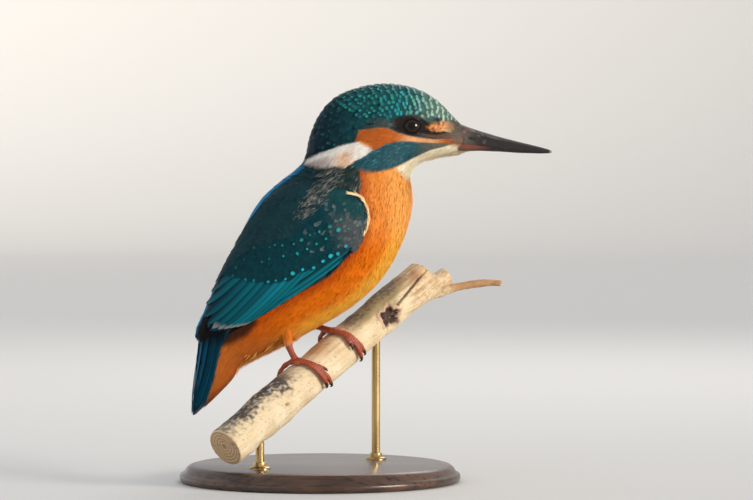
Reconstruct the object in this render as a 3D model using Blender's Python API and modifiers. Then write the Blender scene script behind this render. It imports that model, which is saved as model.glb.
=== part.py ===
"""Common kingfisher, life size, perched on a cut length of branch on a plain display stand.

Metres, +Z up. The origin is the centre of the underside of the stand's base.
The bird faces +X, its left side is +Y, and its middle plane is Y = 0.
"""

import math

import bmesh
import bpy
from mathutils import Vector

MM = 0.001
GAP = 0.3 * MM  # clearance between solids that touch

# ---------------------------------------------------------------- stand
BASE_RADIUS = 52 * MM
BASE_THICKNESS = 6.5 * MM
BASE_BEVEL = 1.2 * MM
ROD_RADIUS = 1.6 * MM
ROD_STATIONS = (-36 * MM, 33 * MM)  # where the two rods meet the perch, along its axis

# ---------------------------------------------------------------- perch
PERCH_MIDDLE = Vector((0.4, 0.0, 42.9)) * MM  # axis point midway between the feet
PERCH_YAW = math.radians(45)  # the upper end points away behind the bird's left
PERCH_SLOPE = math.radians(29.7)
PERCH_LOW_END = -56 * MM
PERCH_HIGH_END = 62 * MM
PERCH_RADIUS = 7.2 * MM

# ---------------------------------------------------------------- body
# Each station is one ring of the body, from the bill's root to the tail's tip:
# back (x, z), front (x, z), half width, and how much wider the ring is near the back. Millimetres.
BODY_STATIONS = (
    ((52.5, 132.1), (54.0, 122.8), 4.3, -0.10),  # bill's root
    ((48.8, 135.8), (48.8, 121.2), 6.2, -0.15),  # forehead and chin
    ((44.4, 140.6), (44.4, 120.1), 8.3, -0.15),  # lores
    ((38.9, 144.3), (39.6, 118.8), 10.2, -0.12),  # front of the eye
    ((31.4, 146.9), (35.5, 116.5), 11.8, -0.08),  # back of the eye
    ((22.2, 147.6), (33.7, 113.2), 13.0, -0.08),  # crown and throat
    ((12.9, 145.8), (34.0, 109.5), 14.2, -0.12),  # ear coverts
    ((4.8, 142.1), (34.6, 104.3), 15.4, -0.16),
    ((-1.1, 135.1), (33.7, 98.0), 16.8, -0.14),  # hind crown and breast
    ((-4.4, 126.5), (31.8, 91.4), 18.2, -0.08),
    ((-6.3, 118.4), (29.2, 85.1), 19.3, 0.00),  # nape and shoulders
    ((-12.9, 112.8), (25.5, 78.4), 20.0, 0.04),  # mantle
    ((-21.5, 105.1), (20.4, 71.8), 19.9, 0.06),
    ((-27.4, 95.6), (11.8, 64.4), 18.9, 0.08),  # back and belly
    ((-31.8, 85.8), (0.7, 57.7), 17.2, 0.10),
    ((-36.1, 76.1), (-11.1, 51.4), 14.9, 0.10),
    ((-39.6, 67.3), (-21.5, 46.6), 12.6, 0.12),  # rump and vent
    ((-42.3, 59.2), (-29.6, 42.2), 10.8, 0.16),
    ((-44.6, 51.6), (-31.8, 38.5), 9.8, 0.22),  # tail's root
    ((-46.0, 44.3), (-34.8, 35.1), 9.4, 0.28),
    ((-46.8, 37.0), (-39.6, 30.3), 9.0, 0.30),
    ((-47.4, 29.6), (-44.0, 26.3), 8.8, 0.30),
    ((-47.6, 24.8), (-46.4, 24.0), 7.4, 0.20),  # tail's tip
)
RINGS_PER_STATION = 2
RING_SIDES = 24

# Cuts between the named parts: two points (x, z) of each cut's line in the middle plane. Millimetres.
HEAD_CUT = ((-5.9, 119.0), (33.7, 112.8))
NECK_CUT = ((-11.5, 113.8), (34.4, 105.5))
TAIL_CUT = ((-43.6, 58.6), (-30.2, 41.2))

# ---------------------------------------------------------------- wings
# Each row: place along the body in stations, upper and lower edge in degrees from the back's middle line,
# and how far the wing's face stands off the body at those two edges in millimetres.
WING_ROWS = (
    (9.20, 84, 96, 0.5, 0.5),
    (9.50, 70, 106, 1.4, 1.4),
    (10.0, 53, 110, 1.8, 2.0),
    (10.8, 35, 113, 1.8, 2.2),
    (11.6, 27, 115, 1.8, 2.2),
    (12.6, 23, 113, 2.2, 2.0),
    (13.6, 20, 108, 3.0, 1.8),
    (14.6, 18, 104, 3.4, 1.6),
    (15.5, 17, 96, 3.4, 1.4),
    (16.3, 16, 84, 3.4, 1.4),
    (17.0, 15, 66, 3.6, 1.6),
    (17.6, 13, 46, 3.8, 2.2),
    (17.95, 14, 32, 3.2, 2.4),
)
WING_DEPTH = 1.2 * MM  # how deep the folded wing's underside is let into the flank
LEFT_TIP_LIFT = 1.2 * MM  # the left wing's tip lies a little higher than the right wing's
WING_ROWS_PER_STEP = 2
WING_COLUMNS = 8

# ---------------------------------------------------------------- bill
# Each station: x, then z of the culmen, gape line and underside, and half width. Millimetres.
BILL_STATIONS = (
    (52.0, 132.4, 125.1, 122.5, 4.5),
    (55.5, 131.0, 124.9, 122.4, 3.9),
    (59.2, 129.8, 124.4, 122.5, 3.4),
    (66.6, 127.6, 123.5, 122.2, 2.6),
    (74.0, 125.7, 122.8, 121.7, 1.85),
    (81.4, 123.9, 122.4, 121.5, 1.05),
    (85.9, 122.6, 122.1, 121.7, 0.35),
)
BILL_ROOT = ((52.9, 132.9), (54.6, 121.8))  # the plane where the bill leaves the feathers
BILL_SIDES = 10
BILL_PARTING = 0.15 * MM  # half the gap between the closed mandibles

# ---------------------------------------------------------------- eyes
EYE_CENTRE = Vector((34.0, 9.35, 131.7)) * MM
EYE_RADIUS = 3.1 * MM

# ---------------------------------------------------------------- legs
FOOT_STATION = 10.8 * MM  # each foot stands this far along the perch from its middle
ANKLE_LEFT = Vector((-2.2, 9.6, 57.6)) * MM
ANKLE_RIGHT = Vector((-11.6, -8.0, 51.8)) * MM
TOE_RADIUS = 1.05 * MM
CLAW_TIP_RADIUS = 0.28 * MM
TARSUS_RADIUS = 1.25 * MM
# Each toe: first and last angle round the perch in degrees from its top, positive to the front, how far
# its end drifts towards the bird's right (+) or left (-) along the perch in millimetres, and thickness.
TOES = (
    ("outer", 6, 128, 0.6, 1.0),
    ("middle", 6, 140, -1.6, 1.05),
    ("inner", 8, 84, -4.4, 0.9),
    ("hind", -6, -74, 1.6, 1.0),
)
TOE_STEPS = 8
FOOT_DRIFT = 4.6 * MM  # the whole foot lies askew on the perch by this much at its front end

Y_AXIS = Vector((0, 1, 0))


def clear_scene():
    for scene_object in list(bpy.data.objects):
        bpy.data.objects.remove(scene_object)


def material(name, color, roughness=0.6, metallic=0.0):
    made = bpy.data.materials.new(name)
    made.use_nodes = True
    shader = made.node_tree.nodes["Principled BSDF"]
    shader.inputs["Base Color"].default_value = (*color, 1.0)
    shader.inputs["Roughness"].default_value = roughness
    shader.inputs["Metallic"].default_value = metallic
    return made


def collection(name):
    made = bpy.data.collections.new(name)
    bpy.context.scene.collection.children.link(made)
    return made


def object_from_bmesh(name, bm, into, finish=None):
    bmesh.ops.recalc_face_normals(bm, faces=bm.faces[:])
    mesh = bpy.data.meshes.new(name)
    bm.to_mesh(mesh)
    bm.free()
    mesh.shade_smooth()
    mesh.set_sharp_from_angle(angle=math.radians(40))
    made = bpy.data.objects.new(name, mesh)
    into.objects.link(made)
    if finish is not None:
        mesh.materials.append(finish)
    return made


def smooth_between(rows, place):
    """Catmull-Rom interpolation of rows of numbers at a fractional row number."""
    index = max(0, min(int(place), len(rows) - 2))
    t = place - index
    b, c = rows[index], rows[index + 1]
    a = rows[index - 1] if index > 0 else [2 * x - y for x, y in zip(b, c)]
    d = rows[index + 2] if index + 2 < len(rows) else [2 * y - x for x, y in zip(b, c)]
    return [
        0.5 * (2 * q + (r - p) * t + (2 * p - 5 * q + 4 * r - s) * t**2 + (3 * q - p - 3 * r + s) * t**3)
        for p, q, r, s in zip(a, b, c, d)
    ]


# ---------------------------------------------------------------- body surface
FLAT_STATIONS = [(*back, *front, half, bias) for back, front, half, bias in BODY_STATIONS]


def body_point(place, angle, off=0.0):
    """A point of the body: place in stations, angle from the back's middle line towards +Y, and how far
    it stands off the body."""
    back_x, back_z, front_x, front_z, half, bias = smooth_between(FLAT_STATIONS, place)
    back = Vector((back_x, 0, back_z)) * MM
    front = Vector((front_x, 0, front_z)) * MM
    upright = (back - front) / 2
    height = upright.length
    width = half * MM * (1 + bias * math.cos(angle))
    outward = upright.normalized() * math.cos(angle) / height + Y_AXIS * math.sin(angle) / width
    on_body = (back + front) / 2 + upright * math.cos(angle) + Y_AXIS * width * math.sin(angle)
    return on_body + outward.normalized() * off


def skin_rings(bm, rings):
    """Joins rings of points into one closed tube with flat ends."""
    loops = [[bm.verts.new(point) for point in ring] for ring in rings]
    for first, second in zip(loops, loops[1:]):
        sides = len(first)
        for i in range(sides):
            j = (i + 1) % sides
            bm.faces.new((first[i], first[j], second[j], second[i]))
    bm.faces.new(loops[0])
    bm.faces.new(loops[-1])


def whole_body():
    bm = bmesh.new()
    last = len(BODY_STATIONS) - 1
    rings = []
    for step in range(last * RINGS_PER_STATION + 1):
        place = step / RINGS_PER_STATION
        rings.append([body_point(place, 2 * math.pi * i / RING_SIDES) for i in range(RING_SIDES)])
    skin_rings(bm, rings)
    return bm


def cut_away(bm, line, keep_towards, gap=GAP / 2):
    """Cuts the mesh along a line of the middle plane and keeps the side that holds the point."""
    start = Vector((line[0][0], 0, line[0][1])) * MM
    end = Vector((line[1][0], 0, line[1][1])) * MM
    normal = (end - start).cross(Y_AXIS).normalized()
    if (keep_towards - start).dot(normal) > 0:
        normal = -normal
    geometry = bm.verts[:] + bm.edges[:] + bm.faces[:]
    cut = bmesh.ops.bisect_plane(
        bm, geom=geometry, plane_co=start - normal * gap, plane_no=normal, clear_outer=True
    )
    rim = [item for item in cut["geom_cut"] if isinstance(item, bmesh.types.BMEdge)]
    bmesh.ops.edgeloop_fill(bm, edges=rim)


def subtract(target, cutter):
    cut = target.modifiers.new(cutter.name, "BOOLEAN")
    cut.operation = "DIFFERENCE"
    cut.object = cutter


def hide_cutter(cutter):
    cutter.hide_render = True
    cutter.display_type = "WIRE"
    return cutter


# ---------------------------------------------------------------- wings
def wing_mesh(side):
    """The folded wing as a curved plate that wraps the body's side. side is +1 on the left, -1 on the
    right."""
    bm = bmesh.new()
    steps = len(WING_ROWS) - 1
    rings = []
    for row in range(steps * WING_ROWS_PER_STEP + 1):
        place, upper, lower, proud_upper, proud_lower = smooth_between(WING_ROWS, row / WING_ROWS_PER_STEP)
        lift = LEFT_TIP_LIFT * min(1.0, max(0.0, (place - 12.5) / 2)) if side > 0 else 0.0
        outer, inner = [], []
        for column in range(WING_COLUMNS):
            across = column / (WING_COLUMNS - 1)
            angle = math.radians(upper + (lower - upper) * across)
            rounding = 1 - 0.55 * abs(2 * across - 1) ** 4
            proud = (proud_upper + (proud_lower - proud_upper) * across) * MM + lift * (1 - across)
            outer.append(body_point(place, angle, proud * rounding))
            inner.append(body_point(place, angle, -WING_DEPTH * rounding))
        rings.append([Vector((p.x, p.y * side, p.z)) for p in outer + inner[::-1]])
    skin_rings(bm, rings)
    return bm


def grown(bm, by):
    """Moves every face outwards, for a cutter that leaves clearance all round."""
    bmesh.ops.recalc_face_normals(bm, faces=bm.faces[:])
    bm.normal_update()
    moves = [(vert, vert.normal * by * min(vert.calc_shell_factor(), 2.0)) for vert in bm.verts]
    for vert, move in moves:
        vert.co += move
    return bm


# ---------------------------------------------------------------- bill
def bill_mesh(upper):
    """One mandible: a ridged half cone over its own flat, lofted along the gape line."""
    bm = bmesh.new()
    rings = []
    steps = 14
    for step in range(steps + 1):
        x, culmen, gape, under, half = smooth_between(BILL_STATIONS, step / steps * (len(BILL_STATIONS) - 1))
        seam = gape * MM + (BILL_PARTING if upper else -BILL_PARTING)
        ridge = culmen * MM if upper else under * MM
        ring = []
        for i in range(BILL_SIDES + 1):
            angle = math.pi * i / BILL_SIDES
            sideways = math.copysign(abs(math.cos(angle)) ** 0.9, math.cos(angle))
            rise = math.sin(angle) ** 1.15
            ring.append(Vector((x * MM, half * MM * sideways, seam + (ridge - seam) * rise)))
        rings.append(ring)
    skin_rings(bm, rings)
    return bm


# ---------------------------------------------------------------- perch
PERCH_ALONG = Vector(
    (
        math.cos(PERCH_SLOPE) * math.cos(PERCH_YAW),
        math.cos(PERCH_SLOPE) * math.sin(PERCH_YAW),
        math.sin(PERCH_SLOPE),
    )
)
PERCH_FRONT = Vector((math.sin(PERCH_YAW), -math.cos(PERCH_YAW), 0))  # level, towards the toes
PERCH_TOP = PERCH_FRONT.cross(PERCH_ALONG)


def perch_frame(along, angle, radius):
    """A point at an angle in degrees round the perch from its top, positive to the front."""
    turned = math.radians(angle)
    return (
        PERCH_MIDDLE
        + PERCH_ALONG * along
        + PERCH_TOP * (radius * math.cos(turned))
        + PERCH_FRONT * (radius * math.sin(turned))
    )


def perch_thickness(along):
    """The branch swells a little at its old shoots and thins towards its broken end."""
    taper = 1.03 - 1.1 * max(0.0, along - 12 * MM)
    swell = 0.07 * math.exp(-(((along - 39 * MM) / (6 * MM)) ** 2))
    swell += 0.08 * math.exp(-(((along + 30 * MM) / (7 * MM)) ** 2))
    return PERCH_RADIUS * (taper + swell)


def tube(name, points, radii, into, resolution=2):
    """A round bar along points, from a curve with a radius at each point, made a closed mesh."""
    curve = bpy.data.curves.new(name, "CURVE")
    curve.dimensions = "3D"
    curve.bevel_depth = 1.0
    curve.bevel_resolution = resolution
    curve.use_fill_caps = True
    spline = curve.splines.new("POLY")
    spline.points.add(len(points) - 1)
    for point, place, radius in zip(spline.points, points, radii):
        point.co = (*place, 1)
        point.radius = radius
    holder = bpy.data.objects.new(name + "_line", curve)
    into.objects.link(holder)
    bpy.context.view_layer.update()
    graph = bpy.context.evaluated_depsgraph_get()
    mesh = bpy.data.meshes.new_from_object(holder.evaluated_get(graph), depsgraph=graph)
    bpy.data.objects.remove(holder)
    bm = bmesh.new()
    bm.from_mesh(mesh)
    bmesh.ops.remove_doubles(bm, verts=bm.verts[:], dist=1e-5)
    bpy.data.meshes.remove(mesh)
    return object_from_bmesh(name, bm, into)


def unite(target, others):
    for other in others:
        joined = target.modifiers.new(other.name, "BOOLEAN")
        joined.operation = "UNION"
        joined.object = other
        hide_cutter(other)


def arc_between(start, control, end, steps):
    """Points of a quadratic curve."""
    points = []
    for step in range(steps + 1):
        t = step / steps
        points.append(start * (1 - t) ** 2 + control * (2 * t * (1 - t)) + end * t**2)
    return points


# ---------------------------------------------------------------- legs
def toe_points(foot_along, side, toe):
    """A toe's centre line, lying on the perch and curling round it."""
    _, first, last, drift, thick = toe
    points, radii = [], []
    for step in range(TOE_STEPS + 1):
        t = step / TOE_STEPS
        angle = first + (last - first) * t
        radius = TOE_RADIUS * thick * (1 - 0.25 * t) if t < 0.8 else TOE_RADIUS * thick * (1 - t) * 3.6
        radius = max(radius, CLAW_TIP_RADIUS)
        askew = FOOT_DRIFT * angle / 140
        along = foot_along + askew + side * drift * MM * t + side * -0.9 * MM * (thick - 1.0) * 10
        knuckle = 1 + 0.10 * math.cos(3 * 2 * math.pi * t)
        stand_off = TOE_RADIUS * thick * 1.1 + GAP
        points.append(perch_frame(along, angle, perch_thickness(along) + stand_off))
        radii.append(radius * knuckle if t < 0.8 else radius)
    return points, radii


def leg(name, side, ankle, into, finish):
    foot_along = side * FOOT_STATION
    sole = perch_frame(foot_along, 0, perch_thickness(foot_along) + TOE_RADIUS * 1.2 + GAP)
    control = (ankle + sole) / 2 + Vector((-0.8, 0, 0)) * MM
    shin = arc_between(ankle, control, sole, 5)
    radii = [TARSUS_RADIUS * k for k in (1.25, 1.05, 0.95, 0.92, 1.0, 1.1)]
    made = tube(name, shin, radii, into)
    toes = []
    for toe in TOES:
        points, thickness = toe_points(foot_along, side, toe)
        toes.append(tube(f"{name}_{toe[0]}_toe", [sole, *points], [TOE_RADIUS, *thickness], into, 1))
    unite(made, toes)
    made.data.materials.append(finish)
    return made


clear_scene()
model = collection("common_kingfisher")
helpers = collection("cutters_and_joins")

FEATHER_TEAL = material("feather_teal", (0.01, 0.09, 0.12), 0.45)
FEATHER_WING = material("feather_wing", (0.008, 0.06, 0.08), 0.45)
FEATHER_BLUE = material("feather_blue", (0.01, 0.20, 0.42), 0.4)
FEATHER_ORANGE = material("feather_orange", (0.75, 0.20, 0.03), 0.7)
BILL_BLACK = material("bill_black", (0.03, 0.026, 0.024), 0.35)
BILL_RED = material("bill_brown", (0.10, 0.04, 0.03), 0.4)
LEG_RED = material("leg_red", (0.35, 0.05, 0.02), 0.45)
EYE_BROWN = material("eye_brown", (0.012, 0.006, 0.005), 0.05)
BARK = material("bark", (0.55, 0.45, 0.33), 0.85)
BASE_WOOD = material("base_wood", (0.06, 0.03, 0.018), 0.4)
ROD_METAL = material("rod_brass", (0.55, 0.40, 0.18), 0.3, 1.0)

# Head, neck, trunk and tail are one body with thin cuts.
head_inside = Vector((20, 0, 135)) * MM
neck_inside = Vector((12, 0, 113)) * MM
trunk_inside = Vector((0, 0, 85)) * MM
tail_inside = Vector((-42, 0, 38)) * MM

head_bm = whole_body()
cut_away(head_bm, HEAD_CUT, head_inside)
head = object_from_bmesh("head", head_bm, model, FEATHER_TEAL)

neck_bm = whole_body()
cut_away(neck_bm, HEAD_CUT, neck_inside)
cut_away(neck_bm, NECK_CUT, neck_inside)
neck = object_from_bmesh("neck", neck_bm, model, FEATHER_ORANGE)

trunk_bm = whole_body()
cut_away(trunk_bm, NECK_CUT, trunk_inside)
cut_away(trunk_bm, TAIL_CUT, trunk_inside)
trunk = object_from_bmesh("trunk", trunk_bm, model, FEATHER_ORANGE)

tail_bm = whole_body()
cut_away(tail_bm, TAIL_CUT, tail_inside)
tail = object_from_bmesh("tail", tail_bm, model, FEATHER_BLUE)

for side, word in ((1, "left"), (-1, "right")):
    # Each folded wing lies in a shallow recess in the flank.
    object_from_bmesh(f"wing_{word}", wing_mesh(side), model, FEATHER_WING)
    recess = hide_cutter(object_from_bmesh(f"wing_recess_{word}", grown(wing_mesh(side), GAP), helpers))
    for flesh in (neck, trunk, tail):
        subtract(flesh, recess)

    # Each eye is a ball set in a socket of the head.
    centre = Vector((EYE_CENTRE.x, EYE_CENTRE.y * side, EYE_CENTRE.z))
    eye_bm = bmesh.new()
    bmesh.ops.create_uvsphere(eye_bm, u_segments=14, v_segments=8, radius=EYE_RADIUS)
    eye = object_from_bmesh(f"eye_{word}", eye_bm, model, EYE_BROWN)
    eye.location = centre
    socket_bm = bmesh.new()
    bmesh.ops.create_uvsphere(socket_bm, u_segments=14, v_segments=8, radius=EYE_RADIUS + GAP)
    socket = hide_cutter(object_from_bmesh(f"eye_socket_{word}", socket_bm, helpers))
    socket.location = centre
    subtract(head, socket)

    # Each leg comes out of the belly through a close hole and grips the perch.
    ankle = ANKLE_LEFT if side > 0 else ANKLE_RIGHT
    leg(f"leg_{word}", side, ankle, model, LEG_RED)
    hole = tube(
        f"leg_hole_{word}",
        [ankle + Vector((-0.3, 0, 1.5)) * MM, ankle, ankle + Vector((0.8, 0, -5)) * MM],
        [TARSUS_RADIUS * 1.25 + GAP * 1.6] * 3,
        helpers,
    )
    subtract(trunk, hide_cutter(hole))

# The two mandibles meet the forehead and chin feathers at the bill's root.
bill_tip = Vector((80, 0, 123)) * MM
upper_bm = bill_mesh(True)
cut_away(upper_bm, BILL_ROOT, bill_tip)
object_from_bmesh("bill_upper", upper_bm, model, BILL_BLACK)
lower_bm = bill_mesh(False)
cut_away(lower_bm, BILL_ROOT, bill_tip)
object_from_bmesh("bill_lower", lower_bm, model, BILL_RED)

# The perch is a sawn length of dead branch with its broken, forked upper end and one side twig.
PERCH_STEPS = 20
perch_places = [
    PERCH_LOW_END + (PERCH_HIGH_END - PERCH_LOW_END) * step / PERCH_STEPS for step in range(PERCH_STEPS + 1)
]
perch = tube(
    "perch",
    [PERCH_MIDDLE + PERCH_ALONG * along for along in perch_places],
    [perch_thickness(along) for along in perch_places],
    model,
    7,
)
perch.data.materials.append(BARK)
fork_end = perch_frame(68 * MM, 112, 6.4 * MM)
fork = tube(
    "perch_fork",
    [perch_frame(30 * MM, 100, 2.5 * MM), perch_frame(50 * MM, 108, 4.6 * MM), fork_end],
    [3.6 * MM, 4.2 * MM, 3.9 * MM],
    helpers,
    3,
)
twig_root = perch_frame(52 * MM, 125, 5.5 * MM)
twig_tip = Vector((68.4, 34.0, 72.0)) * MM
twig_bend = Vector((55.0, 36.5, 73.2)) * MM
twig_points = arc_between(twig_root, twig_bend, twig_tip, 7)
twig = tube("perch_twig", twig_points, [(2.0 - 0.09 * i) * MM for i in range(8)], helpers, 2)
unite(perch, [fork, twig])

# The stand: a turned base and two rods that end under the perch.
base_bm = bmesh.new()
bmesh.ops.create_cone(
    base_bm,
    cap_ends=True,
    segments=48,
    radius1=BASE_RADIUS,
    radius2=BASE_RADIUS,
    depth=BASE_THICKNESS,
)
base = object_from_bmesh("stand_base", base_bm, model, BASE_WOOD)
base.location.z = BASE_THICKNESS / 2
bevel = base.modifiers.new("edge", "BEVEL")
bevel.width = BASE_BEVEL
bevel.segments = 2
bevel.limit_method = "ANGLE"
for number, along in enumerate(ROD_STATIONS, 1):
    foot = PERCH_MIDDLE + PERCH_ALONG * along
    low = BASE_THICKNESS + GAP
    high = foot.z - perch_thickness(along) / math.cos(PERCH_SLOPE) - ROD_RADIUS * math.tan(PERCH_SLOPE) - GAP
    rod_bm = bmesh.new()
    bmesh.ops.create_cone(
        rod_bm,
        cap_ends=True,
        segments=20,
        radius1=ROD_RADIUS,
        radius2=ROD_RADIUS,
        depth=high - low,
    )
    rod = object_from_bmesh(f"stand_rod_{number}", rod_bm, model, ROD_METAL)
    rod.location = (foot.x, foot.y, (high + low) / 2)
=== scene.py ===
"""A common kingfisher as a life-size museum model: feathers, skin, horn, bark, wood and brass, around the
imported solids. Metres, +Z up; the bird faces +X and its left side is +Y."""

import math

import bmesh
import bpy
import numpy as np
from mathutils import Matrix, Vector, kdtree, noise
from mathutils.bvhtree import BVHTree


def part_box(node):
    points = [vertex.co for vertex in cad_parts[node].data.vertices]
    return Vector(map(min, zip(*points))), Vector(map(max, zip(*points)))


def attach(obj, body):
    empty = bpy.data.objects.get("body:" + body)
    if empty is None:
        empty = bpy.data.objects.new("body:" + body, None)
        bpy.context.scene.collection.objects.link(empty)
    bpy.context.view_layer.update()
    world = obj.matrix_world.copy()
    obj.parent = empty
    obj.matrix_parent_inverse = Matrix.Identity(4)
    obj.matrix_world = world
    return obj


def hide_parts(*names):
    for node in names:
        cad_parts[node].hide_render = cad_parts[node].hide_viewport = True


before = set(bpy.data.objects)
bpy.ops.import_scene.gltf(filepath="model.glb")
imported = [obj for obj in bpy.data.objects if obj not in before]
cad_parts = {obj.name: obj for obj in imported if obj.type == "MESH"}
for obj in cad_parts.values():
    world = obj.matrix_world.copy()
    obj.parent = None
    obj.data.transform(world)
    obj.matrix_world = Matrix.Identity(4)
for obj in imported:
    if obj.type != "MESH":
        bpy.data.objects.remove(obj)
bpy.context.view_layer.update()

# ==================================================================== studio
# The model stands on a wide pale matt floor that curves up all round into a low wall. The main light is a
# low and broad warm glow from the bird's front right, and weaker screens fill the shaded side and edge the
# back.
MM = 0.001
VIEW_POINT = Vector((20.9, 0.0, 85.8)) * MM
VIEW_DISTANCE, VIEW_RISE = 1.548, math.radians(2.0)
DISH_FLOOR, DISH_CURVE, DISH_WALL = 2.3, 0.3, 0.05


def placed(name, data):
    """A new object in the scene, at the origin."""
    made = bpy.data.objects.new(name, data)
    bpy.context.scene.collection.objects.link(made)
    return made


def aimed(name, data, place):
    """A light or camera that looks from a place at the middle of the model."""
    made = placed(name, data)
    made.location = place
    made.rotation_euler = (VIEW_POINT - Vector(place)).to_track_quat("-Z", "Y").to_euler()
    return made


def light(name, kind, place, power, color, **settings):
    made = bpy.data.lights.new(name, kind)
    made.energy, made.color = power, color
    for setting, value in settings.items():
        setattr(made, setting, value)
    aimed(name, made, place)


def surface(name, color, roughness, **settings):
    """A material, its node tree and its shader, whose other settings are given with _ for each space."""
    made = bpy.data.materials.new(name)
    made.use_nodes = True
    shader = made.node_tree.nodes["Principled BSDF"]
    for setting, value in {"Base_Color": (*color, 1), "Roughness": roughness, **settings}.items():
        shader.inputs[setting.replace("_", " ")].default_value = value
    return made, made.node_tree, shader


def finished(name, bm, material):
    """The smooth object of a finished bmesh."""
    mesh = bpy.data.meshes.new(name)
    bm.to_mesh(mesh)
    bm.free()
    mesh.shade_smooth()
    mesh.materials.append(material)
    return placed(name, mesh)


def lathed(profile, middle=(0, 0), steps=144):
    """A profile of distances out and heights, in metres, turned about an upright axis."""
    bm = bmesh.new()
    line = [bm.verts.new((middle[0] + out, middle[1], height)) for out, height in profile]
    for a, b in zip(line, line[1:]):
        bm.edges.new((a, b))
    bmesh.ops.spin(bm, geom=bm.verts[:] + bm.edges[:], cent=(*middle, 0), axis=(0, 0, 1), angle=math.tau,
                   steps=steps, use_merge=True)
    bmesh.ops.remove_doubles(bm, verts=bm.verts[:], dist=1e-7)
    bmesh.ops.recalc_face_normals(bm, faces=bm.faces[:])
    return bm


lens = bpy.data.cameras.new("camera")
lens.lens, lens.sensor_width, lens.clip_start = 200, 36, 0.05
away = Vector((0, -math.cos(VIEW_RISE), math.sin(VIEW_RISE)))
bpy.context.scene.camera = aimed("camera", lens, VIEW_POINT + away * VIEW_DISTANCE)
light("low_glow", "SUN", (0.88, -0.46, 0.24), 4.4, (1.0, 0.92, 0.81), angle=math.radians(24))
light("fill_screen", "AREA", (-0.75, -0.60, 0.35), 0.7, (0.86, 0.93, 1.0), shape="RECTANGLE", size=0.7,
      size_y=0.7)
light("edge_screen", "AREA", (0.15, 0.75, 0.60), 1.7, (1.0, 0.97, 0.92), shape="RECTANGLE", size=0.5,
      size_y=0.3)
world = bpy.data.worlds.new("soft_room")
world.use_nodes = True
world.node_tree.nodes["Background"].inputs["Color"].default_value = (0.90, 0.92, 0.95, 1)
world.node_tree.nodes["Background"].inputs["Strength"].default_value = 0.62
bpy.context.scene.world = world
bpy.context.scene.view_settings.view_transform = "Standard"

profile = [(0, 0), (0.6, 0), (DISH_FLOOR, 0)]
for turn in np.radians(np.arange(6, 91, 6)):
    profile.append((DISH_FLOOR + DISH_CURVE * math.sin(turn), DISH_CURVE * (1 - math.cos(turn))))
profile.append((DISH_FLOOR + DISH_CURVE, DISH_CURVE + DISH_WALL))
dish_bm = lathed(profile, steps=96)
bmesh.ops.reverse_faces(dish_bm, faces=[face for face in dish_bm.faces if face.normal.z < 0])
dish = finished("floor_dish", dish_bm, surface("pale_board", (0.76, 0.75, 0.735), 0.85)[0])

# ==================================================================== stand
# A plain turned base of dark stained wood carries two brass rods, each set in a small collar, that reach up
# into the underside of the perch and hold the model at its natural slant.
BASE_PROFILE = [(0, 0), (50.4, 0), (51.5, 0.5), (52, 1.3), (52, 2.5), (51.6, 3.1), (50.7, 3.4), (50.2, 4.1),
                (49.5, 5.2), (48.4, 6.1), (46.9, 6.5), (0, 6.5)]
COLLAR_PROFILE = [(1.5, 6.4), (3.9, 6.4), (3.9, 6.9), (3.5, 7.3), (2.7, 7.5), (2.4, 8.0), (2.2, 8.9),
                  (1.5, 9.1)]
ROD_FOOT, ROD_INTO_PERCH, ROD_BEVEL = 6.3, 1.6, 0.3


def node(tree, kind, feeds=None, **settings):
    """A shader node with its settings, its inputs set to values or fed by other nodes' outputs."""
    made = tree.nodes.new("ShaderNode" + kind)
    for setting, value in settings.items():
        setattr(made, setting, value)
    for number, value in (feeds or {}).items():
        socket = made.inputs[number]
        if isinstance(value, bpy.types.NodeSocket):
            tree.links.new(value, socket)
        else:
            socket.default_value = (*value, 1) if socket.type == "RGBA" else value
    return made


def attribute(tree, name, output="Color"):
    return node(tree, "Attribute", attribute_name=name).outputs[output]


def sum_of(tree, operation, *values):
    """Arithmetic on numbers."""
    return node(tree, "Math", dict(enumerate(values)), operation=operation).outputs[0]


def vector_of(tree, operation, *values):
    """Arithmetic on vectors."""
    made = node(tree, "VectorMath", dict(enumerate(values)), operation=operation)
    return made.outputs["Value" if operation == "LENGTH" else "Vector"]


def mottle(tree, scale, stretch=(1, 1, 1), detail=4.0, distortion=0.0):
    """Noise over the piece's own coordinates, drawn out along some axes."""
    place = node(tree, "TexCoord").outputs["Object"]
    place = node(tree, "Mapping", {"Vector": place, "Scale": stretch}).outputs["Vector"]
    feeds = {"Vector": place, "Scale": scale, "Detail": detail, "Distortion": distortion}
    return node(tree, "TexNoise", feeds).outputs["Fac"]


def blend(tree, share, first, second, low=0.0, high=1.0):
    """The second colour over the first as share goes from low to high."""
    share = node(tree, "MapRange", {"Value": share, "From Min": low, "From Max": high}).outputs["Result"]
    return node(tree, "Mix", {0: share, 6: first, 7: second}, data_type="RGBA").outputs[2]


def dress(tree, shader, color, grain=None, rough=None, height=None, depth=0.0, strength=1.0):
    """A shader's colour, its roughness from one value to another by its grain, and its relief, depth deep."""
    tree.links.new(color, shader.inputs["Base Color"])
    if rough:
        spread = node(tree, "MapRange", {"Value": grain, "To Min": rough[0], "To Max": rough[1]})
        tree.links.new(spread.outputs["Result"], shader.inputs["Roughness"])
    if depth:
        bump = node(tree, "Bump", {"Height": height, "Distance": depth, "Strength": strength})
        tree.links.new(bump.outputs["Normal"], shader.inputs["Normal"])


def fixed(piece, slot, *nodes):
    """A piece that rides on the one body, in place of the named solids."""
    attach(piece, "root")
    if nodes:
        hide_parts(*nodes)


def turned(name, profile, middle, material, slot, *nodes):
    """A piece turned on a lathe, from a profile in millimetres, with its edges sharp."""
    made = finished(name, lathed([(out * MM, height * MM) for out, height in profile], middle), material)
    made.data.set_sharp_from_angle(angle=math.radians(38))
    fixed(made, slot, *nodes)


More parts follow.
